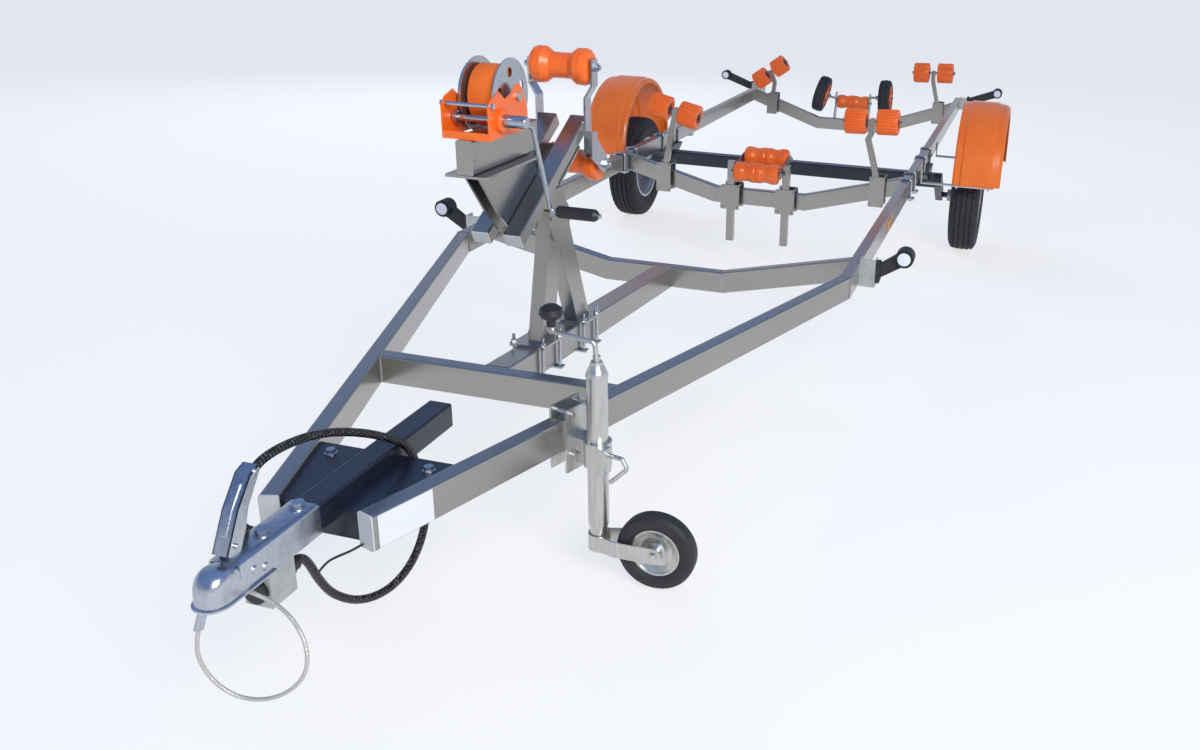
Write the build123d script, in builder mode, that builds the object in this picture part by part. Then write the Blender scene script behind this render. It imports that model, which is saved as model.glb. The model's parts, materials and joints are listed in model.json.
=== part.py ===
"""Boat trailer on its jack: galvanised box-tube frame, torsion axle, winch stand, keel and bilge rollers.

Everything is drawn with the chassis level: X to the trailer's right as seen from the front, -Y towards the
coupling, Z up, Y measured from the axle's hubs and Z from the ground under the road wheels. park() then sets
the chassis nose-down about the hubs, so that road wheels and jockey wheel stand on one floor, and moves the
origin to the middle of the footprint. Millimetres throughout.
"""
import os
from math import atan2, cos, degrees, hypot, radians, sin, sqrt, tan

from build123d import *

os.makedirs("parts", exist_ok=True)

# ---------------------------------------------------------------- driving sizes
PITCH = 1.82            # nose-down angle of the parked chassis, degrees
Y_AXLE = 1325.1         # hubs behind the middle of the footprint

WHEEL_R = 289.0         # 155/80 R13 road wheel
WHEEL_W = 154.0
WHEEL_X = 971.0
RIM_R = 166.0

TUBE_W = 42.0           # frame tube
TUBE_H = 80.0
WALL = 3.0
ROUND = 5.0             # outer corner of the frame tube
RAIL_X = 725.5
FRAME_TOP = 543.0
ELBOW_Y = -2454.0
ARM_TIP_X = 111.5
ARM_TIP_Y = -4317.0
RAIL_END_Y = 2000.0

CROSS_A_Y = -3604.5     # front faces of the four cross tubes
CROSS_B_Y = -2261.0
CROSS_C_Y = -839.0
CROSS_D_Y = 1700.0
BEND_X = 226.0          # where B, C and D turn level in the middle

BEAM_W = 70.0           # centre beam under the winch post
DRAW_W = 60.0           # drawbar
DRAW_TOP = 562.0
DRAW_REAR_Y = -3850.0
DRAW_FRONT_Y = -4530.0

AXLE_SQ = 71.0
AXLE_Y = -169.0
AXLE_TOP = 438.0

JACK_X = 374.0
JACK_Y = -3777.0
JACK_R = 100.0          # jockey wheel
JACK_TRAIL = 152.0

PIN_R = 8.0             # roller pins
RUNNING = 0.08           # radial clearance of rollers and wheels on their pins
SEAT = 0.3              # air between curved faces that sit together

FRAME_BOTTOM = FRAME_TOP - TUBE_H
RAIL_OUT = RAIL_X + TUBE_W / 2
RAIL_IN = RAIL_X - TUBE_W / 2
ARM_TURN = atan2(RAIL_X - ARM_TIP_X, ELBOW_Y - ARM_TIP_Y)
PARKED = Pos(0, Y_AXLE, WHEEL_R) * Rot(PITCH, 0, 0) * Pos(0, 0, -WHEEL_R)
# height of the jockey wheel's pin in the level chassis that puts its tyre on the floor once parked
JACK_PIN_Z = WHEEL_R + (JACK_R - WHEEL_R - JACK_Y * sin(radians(PITCH))) / cos(radians(PITCH))


def park(builder, name):
    """Set a finished piece nose-down with the chassis and write it out under its name."""
    solid = builder.part.moved(PARKED)
    solid.label = name
    export_step(solid, f"parts/{name}.step")


def front_plane(y):
    """Sketch plane across the trailer at a station y: sketch X and Y are the trailer's X and Z."""
    return Plane(origin=(0, y, 0), x_dir=(1, 0, 0), z_dir=(0, -1, 0))


def side_plane(x):
    """Sketch plane along the trailer at x: sketch X and Y are the trailer's Y and Z."""
    return Plane(origin=(x, 0, 0), x_dir=(0, 1, 0), z_dir=(1, 0, 0))


def ribbon(points, thick):
    """Outline of a bent strip of one thickness whose middle runs through the points, with mitred bends."""
    left, right = [], []
    for i, (a, b) in enumerate(points):
        (pa, pb), (na, nb) = points[max(i - 1, 0)], points[min(i + 1, len(points) - 1)]
        d1 = (a - pa, b - pb) if i else (na - a, nb - b)
        d2 = (na - a, nb - b) if i < len(points) - 1 else d1
        l1, l2 = hypot(*d1), hypot(*d2)
        n1, n2 = (-d1[1] / l1, d1[0] / l1), (-d2[1] / l2, d2[0] / l2)
        k = thick / 2 / (1 + n1[0] * n2[0] + n1[1] * n2[1])
        m = (k * (n1[0] + n2[0]), k * (n1[1] + n2[1]))
        left.append((a + m[0], b + m[1]))
        right.append((a - m[0], b - m[1]))
    return left + right[::-1]


def outline(points):
    """Closed face from straight lines through the points, added to the open sketch."""
    return Polygon(*points, align=None)


# ---------------------------------------------------------------- side rails and the arms of the V
def rail_plan(inset):
    """Right rail seen from above, mitred at the elbow."""
    half = TUBE_W / 2 - inset
    cut = half * tan(ARM_TURN / 2)
    return [(RAIL_X + half, ELBOW_Y - cut), (RAIL_X + half, RAIL_END_Y), (RAIL_X - half, RAIL_END_Y),
            (RAIL_X - half, ELBOW_Y + cut)]


def arm_plan(inset):
    """Right arm of the V seen from above, square at its tip."""
    half = TUBE_W / 2 - inset
    cut = half * tan(ARM_TURN / 2)
    nx, ny = half * cos(ARM_TURN), -half * sin(ARM_TURN)
    return [(RAIL_X + half, ELBOW_Y - cut), (RAIL_X - half, ELBOW_Y + cut),
            (ARM_TIP_X - nx, ARM_TIP_Y - ny), (ARM_TIP_X + nx, ARM_TIP_Y + ny)]


for name, plan in (("rail", rail_plan), ("front_arm", arm_plan)):
    for side, s in (("left", -1), ("right", 1)):
        with BuildPart() as tube:
            with BuildSketch(Plane.XY.offset(FRAME_BOTTOM)):
                outline([(s * x, y) for x, y in plan(0)])
            extrude(amount=TUBE_H)
            fillet([e for e in tube.edges() if e.length > 1500], ROUND)
            with BuildSketch(Plane.XY.offset(FRAME_BOTTOM + WALL)):
                outline([(s * x, y) for x, y in plan(WALL)])
            extrude(amount=TUBE_H - 2 * WALL, mode=Mode.SUBTRACT)
        park(tube, f"{name}_{side}")

# ---------------------------------------------------------------- cross tubes
def arm_inner_x(y):
    """Inner face of the right arm of the V at a station y."""
    return RAIL_X - (ELBOW_Y - y) * tan(ARM_TURN) - TUBE_W / 2 / cos(ARM_TURN)


with BuildPart() as cross_front:
    for z, high, inset, mode in ((FRAME_BOTTOM, TUBE_H, 0, Mode.ADD),
                                 (FRAME_BOTTOM + WALL, TUBE_H - 2 * WALL, WALL, Mode.SUBTRACT)):
        y1, y2 = CROSS_A_Y + inset, CROSS_A_Y + TUBE_W - inset
        with BuildSketch(Plane.XY.offset(z)):
            outline([(-arm_inner_x(y1), y1), (arm_inner_x(y1), y1), (arm_inner_x(y2), y2), (-arm_inner_x(y2), y2)])
        extrude(amount=high, mode=mode)
        if mode == Mode.ADD:
            fillet([e for e in cross_front.edges() if e.length > 300], ROUND)
park(cross_front, "cross_front")


def vee_line(mid_top, depth):
    """A bent cross tube's top line moved down square to itself by a depth, left end to right end."""
    rise = atan2(FRAME_TOP - mid_top, RAIL_IN - BEND_X)
    bend, mid = BEND_X + depth * tan(rise / 2), mid_top - depth
    end = mid_top + (RAIL_IN - BEND_X) * tan(rise) - depth / cos(rise)
    return [(-RAIL_IN, end), (-bend, mid), (bend, mid), (RAIL_IN, end)]


# name, front face, height of its level middle's top
CROSS_TUBES = (("elbow", CROSS_B_Y, 437.5), ("keel_front", CROSS_C_Y, 415.0), ("keel_rear", CROSS_D_Y, 375.0))
MID_TOP = {y: mid_top for name, y, mid_top in CROSS_TUBES}
with BuildPart() as cross_tubes:
    for name, y, mid_top in CROSS_TUBES:
        with BuildSketch(front_plane(y)):
            outline(vee_line(mid_top, 0) + vee_line(mid_top, TUBE_H)[::-1])
        extrude(amount=-TUBE_W)
    fillet([e for e in cross_tubes.edges() if e.length > 300], ROUND)
    for name, y, mid_top in CROSS_TUBES:
        with BuildSketch(front_plane(y + WALL)):
            outline(vee_line(mid_top, WALL) + vee_line(mid_top, TUBE_H - WALL)[::-1])
        extrude(amount=-(TUBE_W - 2 * WALL), mode=Mode.SUBTRACT)
park(cross_tubes, "cross_tubes")

# ---------------------------------------------------------------- centre beam, drawbar and end caps
BEAM_FRONT_Y = CROSS_A_Y + TUBE_W
BEAM_DROP = (FRAME_TOP - 437.5) / (CROSS_B_Y - BEAM_FRONT_Y)


def beam_top(y):
    """Top face of the sloping centre beam at a station y."""
    return FRAME_TOP - (y - BEAM_FRONT_Y) * BEAM_DROP


with BuildPart() as centre_beam:
    for half, inset, mode in ((BEAM_W / 2, 0, Mode.ADD), (BEAM_W / 2 - WALL, WALL, Mode.SUBTRACT)):
        with BuildSketch(side_plane(-half)):
            outline([(y, beam_top(y) - d) for y, d in
                     ((BEAM_FRONT_Y, inset), (CROSS_B_Y, inset), (CROSS_B_Y, TUBE_H - inset),
                      (BEAM_FRONT_Y, TUBE_H - inset))])
        extrude(amount=2 * half, mode=mode)
        if mode == Mode.ADD:
            fillet([e for e in centre_beam.edges() if e.length > 1000], ROUND)
park(centre_beam, "centre_beam")

# the drawbar lies in a black pressed saddle whose cheeks are bolted to the insides of the arms
SADDLE_FRONT_Y, SADDLE_REAR_Y, SADDLE_TOP, PLATE = -4305.0, -4060.0, 530.0, 8.0
with BuildPart() as drawbar:
    with BuildSketch(Plane(origin=(0, DRAW_FRONT_Y, DRAW_TOP - DRAW_W / 2), x_dir=(1, 0, 0), z_dir=(0, 1, 0))):
        RectangleRounded(DRAW_W, DRAW_W, ROUND)
    extrude(amount=DRAW_REAR_Y - DRAW_FRONT_Y)
    with BuildSketch(front_plane(SADDLE_FRONT_Y)):
        outline(ribbon([(-200, SADDLE_TOP - 4), (-34, SADDLE_TOP - 4), (-34, DRAW_TOP - DRAW_W - 4),
                        (34, DRAW_TOP - DRAW_W - 4), (34, SADDLE_TOP - 4), (200, SADDLE_TOP - 4)], PLATE))
        for s in (-1, 1):
            outline([(s * 34, DRAW_TOP - DRAW_W), (s * 34, SADDLE_TOP - 4), (s * 29, SADDLE_TOP - 4),
                     (s * 29, DRAW_TOP - DRAW_W)])
    extrude(amount=-(SADDLE_REAR_Y - SADDLE_FRONT_Y))
    for s in (-1, 1):
        with BuildSketch(Plane.XY.offset(470)):
            outline([(s * (arm_inner_x(y) - d), y) for y, d in
                     ((SADDLE_FRONT_Y, 0), (SADDLE_REAR_Y, 0), (SADDLE_REAR_Y, PLATE), (SADDLE_FRONT_Y, PLATE))])
        extrude(amount=SADDLE_TOP - 470)
    for y in (SADDLE_FRONT_Y, SADDLE_REAR_Y - 6):
        with BuildSketch(Plane.XY.offset(470)):
            outline([(-arm_inner_x(y), y), (arm_inner_x(y), y), (arm_inner_x(y), y + 6), (-arm_inner_x(y), y + 6)])
        extrude(amount=SADDLE_TOP - 470 - PLATE)
    with BuildSketch(Plane.XY.offset(400)):
        outline([(-DRAW_W / 2 - 1, DRAW_FRONT_Y), (DRAW_W / 2 + 1, DRAW_FRONT_Y),
                 (DRAW_W / 2 + 1, SADDLE_FRONT_Y), (arm_inner_x(SADDLE_FRONT_Y), SADDLE_FRONT_Y),
                 (arm_inner_x(SADDLE_REAR_Y), SADDLE_REAR_Y), (DRAW_W / 2 + 1, SADDLE_REAR_Y),
                 (DRAW_W / 2 + 1, DRAW_REAR_Y), (-DRAW_W / 2 - 1, DRAW_REAR_Y), (-DRAW_W / 2 - 1, SADDLE_REAR_Y),
                 (-arm_inner_x(SADDLE_REAR_Y), SADDLE_REAR_Y), (-arm_inner_x(SADDLE_FRONT_Y), SADDLE_FRONT_Y),
                 (-DRAW_W / 2 - 1, SADDLE_FRONT_Y)])
    extrude(amount=300, mode=Mode.INTERSECT)
    with BuildSketch(Plane(origin=(0, DRAW_FRONT_Y, DRAW_TOP - DRAW_W / 2), x_dir=(1, 0, 0), z_dir=(0, 1, 0))):
        Rectangle(DRAW_W - 8, DRAW_W - 8)
    extrude(amount=DRAW_REAR_Y - DRAW_FRONT_Y, mode=Mode.SUBTRACT)
park(drawbar, "drawbar")

END_CAP = 4.0
with BuildPart() as end_caps:
    for s in (-1, 1):
        tips = ((ARM_TIP_X, ARM_TIP_Y, (-sin(ARM_TURN), -cos(ARM_TURN))), (RAIL_X, RAIL_END_Y, (0, 1)))
        for x, y, (dx, dy) in tips:
            for d, w, h, r, long in ((0, TUBE_W, TUBE_H, ROUND, END_CAP),
                                     (-18, TUBE_W - 2 * WALL - 1, TUBE_H - 2 * WALL - 1, 1, 18)):
                with BuildSketch(Plane(origin=(s * (x + d * dx), y + d * dy, FRAME_TOP - TUBE_H / 2),
                                       x_dir=(s * dy, -dx, 0), z_dir=(s * dx, dy, 0))):
                    RectangleRounded(w, h, r)
                extrude(amount=long)
    with BuildSketch(Plane(origin=(0, DRAW_REAR_Y, DRAW_TOP - DRAW_W / 2), x_dir=(1, 0, 0), z_dir=(0, 1, 0))):
        RectangleRounded(DRAW_W, DRAW_W, ROUND)
        with Locations((0, DRAW_W / 2)):
            Rectangle(22, 8)
    extrude(amount=END_CAP)
park(end_caps, "end_caps")

# ---------------------------------------------------------------- coupling, its lever and the plug holder
COUPLING_REAR_Y, BALL_Y, NOSE_R, SOCKET_R = -4350.0, -4595.0, 43.0, 25.2
COUPLING_W, COUPLING_TOP, COUPLING_SHEET = 66.0, 566.0, 3.0
SOCKET_BOTTOM, SOCKET_DEEP = 505.0, 34.0
LEVER_PIN = (-4556.0, 592.0)
with BuildPart() as coupling:
    with BuildSketch(front_plane(-4546)):
        outline([(-33, 502), (-33, COUPLING_TOP), (33, COUPLING_TOP), (33, 502), (30, 502), (30, 562), (-30, 562),
                 (-30, 502)])
    extrude(amount=-(COUPLING_REAR_Y + 4546))
    with BuildSketch(Plane.XY.offset(510)):
        outline([(-33, -4546), (33, -4546), (36, BALL_Y), (-36, BALL_Y)])
    extrude(amount=COUPLING_TOP - 510)
    with BuildSketch(Plane.YZ):
        with BuildLine():
            Polyline((BALL_Y, SOCKET_BOTTOM), (BALL_Y - 48, SOCKET_BOTTOM), (BALL_Y - 48, SOCKET_BOTTOM + 6.5),
                     (BALL_Y - NOSE_R, SOCKET_BOTTOM + 9), (BALL_Y - NOSE_R, SOCKET_BOTTOM + 30))
            ThreePointArc((BALL_Y - NOSE_R, SOCKET_BOTTOM + 30), (BALL_Y - 34, SOCKET_BOTTOM + 55),
                          (BALL_Y - 10, SOCKET_BOTTOM + 69))
            Polyline((BALL_Y - 10, SOCKET_BOTTOM + 69), (BALL_Y, SOCKET_BOTTOM + 69), (BALL_Y, SOCKET_BOTTOM))
        make_face()
    revolve(axis=Axis((0, BALL_Y, 0), (0, 0, 1)))
    # two ears carry the lever's pin
    for s in (-1, 1):
        with BuildSketch(side_plane(s * 15 - 2)):
            outline([(-4580, 563), (-4564, 600), (-4546, 600), (-4531, 563)])
        extrude(amount=4)
    with BuildSketch(Plane.XY.offset(SOCKET_BOTTOM)):
        with Locations((0, BALL_Y)):
            Circle(SOCKET_R)
    extrude(amount=SOCKET_DEEP, mode=Mode.SUBTRACT)
    for s in (-1, 1):
        for y in (-4500, -4420):
            with BuildSketch(side_plane(s * 33)):
                with Locations((y, 540)):
                    Circle(9)
            extrude(amount=s * 3)
    for y in (-4369, -4470):
        with BuildSketch(Plane.XY.offset(COUPLING_TOP)):
            with Locations((0, y)):
                Circle(15)
        extrude(amount=3)
        with BuildSketch(Plane.XY.offset(COUPLING_TOP + 3)):
            with Locations((0, y)):
                RegularPolygon(11, 6)
        extrude(amount=8)
    with BuildSketch(side_plane(-24)):
        with Locations(LEVER_PIN):
            Circle(5)
    extrude(amount=48)
park(coupling, "coupling")

# the lever stands up about its pin: a channel with a pressed grip, open towards the drawbar
LEVER_LONG, LEVER_TILT = 146.0, 58.0
with BuildPart() as coupling_lever:
    with BuildSketch(Plane(origin=(-22, *LEVER_PIN), x_dir=(0, cos(radians(LEVER_TILT)), sin(radians(LEVER_TILT))),
                           z_dir=(1, 0, 0))):
        with BuildLine():
            Polyline((-20, 16), (-20, -12), (-8, -17), (LEVER_LONG - 26, -13), (LEVER_LONG, 2), (LEVER_LONG - 4, 12),
                     (60, 22), (-20, 16), close=True)
        make_face()
    extrude(amount=44)
    fillet([e for e in coupling_lever.edges().filter_by(Axis.X) if e.center().Z > LEVER_PIN[1] + 40], 6)
    with BuildSketch(Plane(origin=(-19, *LEVER_PIN), x_dir=(0, cos(radians(LEVER_TILT)), sin(radians(LEVER_TILT))),
                           z_dir=(1, 0, 0))):
        outline([(-24, 13), (-24, -60), (LEVER_LONG + 10, -60), (LEVER_LONG - 14, 6), (60, 18), (-12, 13)])
    extrude(amount=38, mode=Mode.SUBTRACT)
    with BuildSketch(side_plane(-24)):
        with Locations(LEVER_PIN):
            Circle(5 + SEAT)
    extrude(amount=48, mode=Mode.SUBTRACT)
park(coupling_lever, "coupling_lever")

with BuildPart() as plug_holder:
    with BuildSketch(Plane.XY.offset(428)):
        outline(ribbon([(-28.5, -4433), (-28.5, -4501.5), (28.5, -4501.5), (28.5, -4433)], 3))
    extrude(amount=71)
    with BuildSketch(Plane.XY.offset(499)):
        with Locations((0, -4468)):
            Rectangle(60, 70)
    extrude(amount=3)
    with BuildSketch(front_plane(-4503)):
        with Locations((0, 462)):
            Circle(25)
    extrude(amount=-3, mode=Mode.SUBTRACT)
park(plug_holder, "plug_holder")

# ---------------------------------------------------------------- axle, trailing arms and road wheels
AXLE_HALF = WHEEL_X - 171.0
ARM_THICK = 36.0
SPINDLE_R = 15.0
HUB_IN_X, HUB_OUT_X = AXLE_HALF + 62, WHEEL_X + 40
with BuildPart() as axle_beam:
    with BuildSketch(Plane(origin=(-AXLE_HALF, AXLE_Y, AXLE_TOP - AXLE_SQ / 2), x_dir=(0, 1, 0), z_dir=(1, 0, 0))):
        RectangleRounded(AXLE_SQ, AXLE_SQ, 8)
    extrude(amount=2 * AXLE_HALF)
    # welded seats that carry the rails
    for s in (-1, 1):
        with BuildSketch(side_plane(s * RAIL_X - 45)):
            outline([(AXLE_Y - 150, FRAME_BOTTOM), (AXLE_Y - 150, FRAME_BOTTOM - 8), (AXLE_Y - 60, AXLE_TOP - 30),
                     (AXLE_Y + 60, AXLE_TOP - 30), (AXLE_Y + 150, FRAME_BOTTOM - 8), (AXLE_Y + 150, FRAME_BOTTOM)])
        extrude(amount=90)
park(axle_beam, "axle_beam")

with BuildPart() as swing_arms:
    for s in (-1, 1):
        with BuildSketch(side_plane(s * AXLE_HALF)):
            with Locations((AXLE_Y, AXLE_TOP - AXLE_SQ / 2)):
                Circle(40)
            with Locations((0, WHEEL_R)):
                Circle(34)
            along = (-AXLE_Y, WHEEL_R - AXLE_TOP + AXLE_SQ / 2)
            k = hypot(*along)
            nx, nz = -along[1] / k, along[0] / k
            outline([(AXLE_Y + 38 * nx, AXLE_TOP - AXLE_SQ / 2 + 38 * nz), (33 * nx, WHEEL_R + 33 * nz),
                     (-33 * nx, WHEEL_R - 33 * nz), (AXLE_Y - 38 * nx, AXLE_TOP - AXLE_SQ / 2 - 38 * nz)])
        extrude(amount=s * ARM_THICK)
        with BuildSketch(side_plane(s * (AXLE_HALF + ARM_THICK))):
            with Locations((0, WHEEL_R)):
                Circle(SPINDLE_R)
        extrude(amount=s * (HUB_OUT_X - 12 - AXLE_HALF - ARM_THICK))
park(swing_arms, "swing_arms")

# half a tyre section from the bead to the crown: distance from the wheel's middle, radius
TYRE_HALF = ((61, RIM_R + SEAT), (61.5, 178), (67, 194), (WHEEL_W / 2, 228), (73, 258), (61, 281), (40, 287), (0, WHEEL_R))
WHEEL_AXIS = Axis((0, 0, WHEEL_R), (1, 0, 0))
for side, s in (("left", -1), ("right", 1)):
    with BuildPart() as tyre:
        with BuildSketch(Plane(origin=(s * WHEEL_X, 0, WHEEL_R), x_dir=(1, 0, 0), z_dir=(0, -1, 0))):
            outline([(x, r) for x, r in TYRE_HALF] + [(-x, r) for x, r in TYRE_HALF[-2::-1]])
        revolve(axis=WHEEL_AXIS)
    park(tyre, f"tyre_{side}")
    # steel wheel with its hub: the disc dishes outwards, radius and place across the wheel by the table
    with BuildPart() as rim:
        with BuildSketch(Plane(origin=(s * WHEEL_X, 0, WHEEL_R), x_dir=(s, 0, 0), z_dir=(0, s, 0))):
            for half in (-1, 1):
                outline([(half * a, -r) for a, r in ((0, 158), (40, 156), (56, 162), (66, 162), (66, 176), (62.5, 176),
                                                     (62.5, RIM_R), (0, RIM_R))])
            outline([(a, -r) for a, r in ((20, 157), (38, 142), (44, 118), (40, 92), (26, 72), (26, 34), (30, 34),
                                          (30, 70), (45, 90), (49, 119), (43, 146), (26, 160))])
            outline([(a, -r) for a, r in ((HUB_IN_X - WHEEL_X, 32), (HUB_IN_X - WHEEL_X, SPINDLE_R + RUNNING),
                                          (30, SPINDLE_R + RUNNING), (30, 0), (52, 0), (52, 18), (44, 28), (30, 30),
                                          (30, 62), (14, 62), (4, 40), (-60, 40), (-60, 32))])
        revolve(axis=WHEEL_AXIS)
        with BuildSketch(side_plane(s * (WHEEL_X + 20))):
            with Locations((0, WHEEL_R)):
                with PolarLocations(119, 8):
                    Circle(13)
        extrude(amount=s * 40, mode=Mode.SUBTRACT)
        with BuildSketch(side_plane(s * (WHEEL_X + 29))):
            with Locations((0, WHEEL_R)):
                with PolarLocations(49, 4):
                    RegularPolygon(11, 6)
        extrude(amount=s * 16)
    park(rim, f"rim_{side}")

# ---------------------------------------------------------------- mudguards and their stays
GUARD_IN, GUARD_OUT, GUARD_R, GUARD_Z = 906.0, 1145.0, 372.0, 430.0
# across the mudguard from the inside: x, radius; the middle band stands proud of the shoulders
GUARD_SECTION = ((GUARD_IN, GUARD_R - 24), (GUARD_IN, GUARD_R - 3), (GUARD_IN + 8, GUARD_R + 1),
                 (GUARD_IN + 34, GUARD_R + 1), (GUARD_IN + 44, GUARD_R + 8), (GUARD_OUT - 62, GUARD_R + 8),
                 (GUARD_OUT - 48, GUARD_R), (GUARD_OUT - 14, GUARD_R - 3), (GUARD_OUT, GUARD_R - 16),
                 (GUARD_OUT, GUARD_R - 40))
for side, s in (("left", -1), ("right", 1)):
    with BuildPart() as fender:
        with BuildSketch(Plane(origin=(0, 0, GUARD_Z), x_dir=(1, 0, 0), z_dir=(0, 0, 1))):
            outline([(s * x, -r) for x, r in ribbon(GUARD_SECTION, 3)])
        revolve(axis=Axis((0, 0, GUARD_Z), (-1, 0, 0)), revolution_arc=180)
    park(fender, f"fender_{side}")

with BuildPart() as fender_stays:
    for s in (-1, 1):
        for y in (-392, 352):
            with BuildSketch(front_plane(y)):
                outline([(s * x, z) for x, z in ribbon([(RAIL_OUT + 2.5, 505), (RAIL_OUT + 2.5, GUARD_Z - 2.5),
                                                        (GUARD_OUT - 30, GUARD_Z - 2.5)], 5)])
            extrude(amount=-40)
park(fender_stays, "fender_stays")

# ---------------------------------------------------------------- winch post: A-frame, apex plates and twin tubes
TWIN_X, TWIN_W, TWIN_H = 45.0, 50.0, 40.0
TWIN_FRONT, TWIN_REAR = (-3530.0, 881.5), (-3110.0, 1119.5)
TWIN_SLOPE = atan2(TWIN_REAR[1] - TWIN_FRONT[1], TWIN_REAR[0] - TWIN_FRONT[0])
APEX = (-3212.0, 878.0)
LEG_W, LEG_D, FOOT = 42.0, 80.0, 8.0


def twin_under(y, gap=0.0):
    """Underside of the twin tubes at a station y, lowered by a gap square to them."""
    return TWIN_FRONT[1] + (y - TWIN_FRONT[0]) * tan(TWIN_SLOPE) - (TWIN_H / 2 + gap) / cos(TWIN_SLOPE)


with BuildPart() as winch_post:
    with BuildSketch(side_plane(-LEG_W / 2)):
        outline(ribbon([(-3306, 500), (APEX[0] - 4, APEX[1])], LEG_D))
        outline(ribbon([(-3040, 480), (APEX[0] + 8, APEX[1])], LEG_D))
        outline(ribbon([APEX, (-3232, 1060)], 66))
        with BuildLine():
            Polyline((-3450, twin_under(-3450, 8)), (-3000, twin_under(-3000, 8)), (-3000, 1400), (-3450, 1400),
                     close=True)
        make_face(mode=Mode.SUBTRACT)
        with BuildLine():
            Polyline((-3500, beam_top(-3500) + FOOT), (-2900, beam_top(-2900) + FOOT), (-2900, 300), (-3500, 300),
                     close=True)
        make_face(mode=Mode.SUBTRACT)
    extrude(amount=LEG_W)
    # rounded cheek plates over the apex
    for s in (-1, 1):
        with BuildSketch(side_plane(s * LEG_W / 2)):
            with Locations((APEX[0] + 4, APEX[1] - 26)):
                Circle(62)
            outline([(-3266, 850), (-3262, 950), (-3196, 950), (-3150, 850)])
        extrude(amount=s * 6)
    # feet lie on the beam's slope, the head plate on the tubes' slope
    for y1, y2 in ((-3392, -3262), (-3112, -2992)):
        with BuildSketch(side_plane(-52)):
            outline([(y1, beam_top(y1)), (y2, beam_top(y2)), (y2, beam_top(y2) + FOOT), (y1, beam_top(y1) + FOOT)])
        extrude(amount=104)
    with BuildSketch(side_plane(-72)):
        outline([(-3300, twin_under(-3300)), (-3170, twin_under(-3170)), (-3170, twin_under(-3170, 8)),
                 (-3300, twin_under(-3300, 8))])
    extrude(amount=144)
    for s in (-1, 1):
        for w, h, r, mode in ((TWIN_W, TWIN_H, ROUND, Mode.ADD), (TWIN_W - 6, TWIN_H - 6, 2, Mode.SUBTRACT)):
            with BuildSketch(Plane(origin=(s * TWIN_X, *TWIN_FRONT), x_dir=(1, 0, 0),
                                   z_dir=(0, cos(TWIN_SLOPE), sin(TWIN_SLOPE)))):
                RectangleRounded(w, h, r)
            extrude(amount=hypot(TWIN_REAR[0] - TWIN_FRONT[0], TWIN_REAR[1] - TWIN_FRONT[1]), mode=mode)
park(winch_post, "winch_post")

# ---------------------------------------------------------------- winch: bracket, frame, drum, strap and crank
BOX_W, BOX_BOTTOM, BOX_TOP, BOX_FRONT, BOX_REAR = 44.0, 1074.0, 1158.0, -3672.0, -3330.0
with BuildPart() as winch_bracket:
    with BuildSketch(front_plane(BOX_FRONT)):
        with Locations((0, (BOX_BOTTOM + BOX_TOP) / 2)):
            RectangleRounded(BOX_W, BOX_TOP - BOX_BOTTOM, 6)
            RectangleRounded(BOX_W - 6, BOX_TOP - BOX_BOTTOM - 6, 3, mode=Mode.SUBTRACT)
    extrude(amount=-(BOX_REAR - BOX_FRONT))
    # front of the box is folded shut, a bolting plate lies under it
    with BuildSketch(front_plane(BOX_FRONT)):
        with Locations((0, (BOX_BOTTOM + BOX_TOP) / 2)):
            RectangleRounded(BOX_W, BOX_TOP - BOX_BOTTOM, 6)
    extrude(amount=-3)
    with BuildSketch(Plane.XY.offset(BOX_BOTTOM - 6)):
        with Locations((0, -3530)):
            RectangleRounded(112, 290, 8)
    extrude(amount=6)
    # two cheeks go down between the twin tubes
    for x in (-19.5, 14.5):
        with BuildSketch(side_plane(x)):
            outline([(-3650, BOX_BOTTOM - 4), (-3390, BOX_BOTTOM - 4), (-3340, 1045), (-3330, twin_under(-3330)),
                     (-3480, twin_under(-3480)), (-3560, 960)])
        extrude(amount=5)
park(winch_bracket, "winch_bracket")

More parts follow.
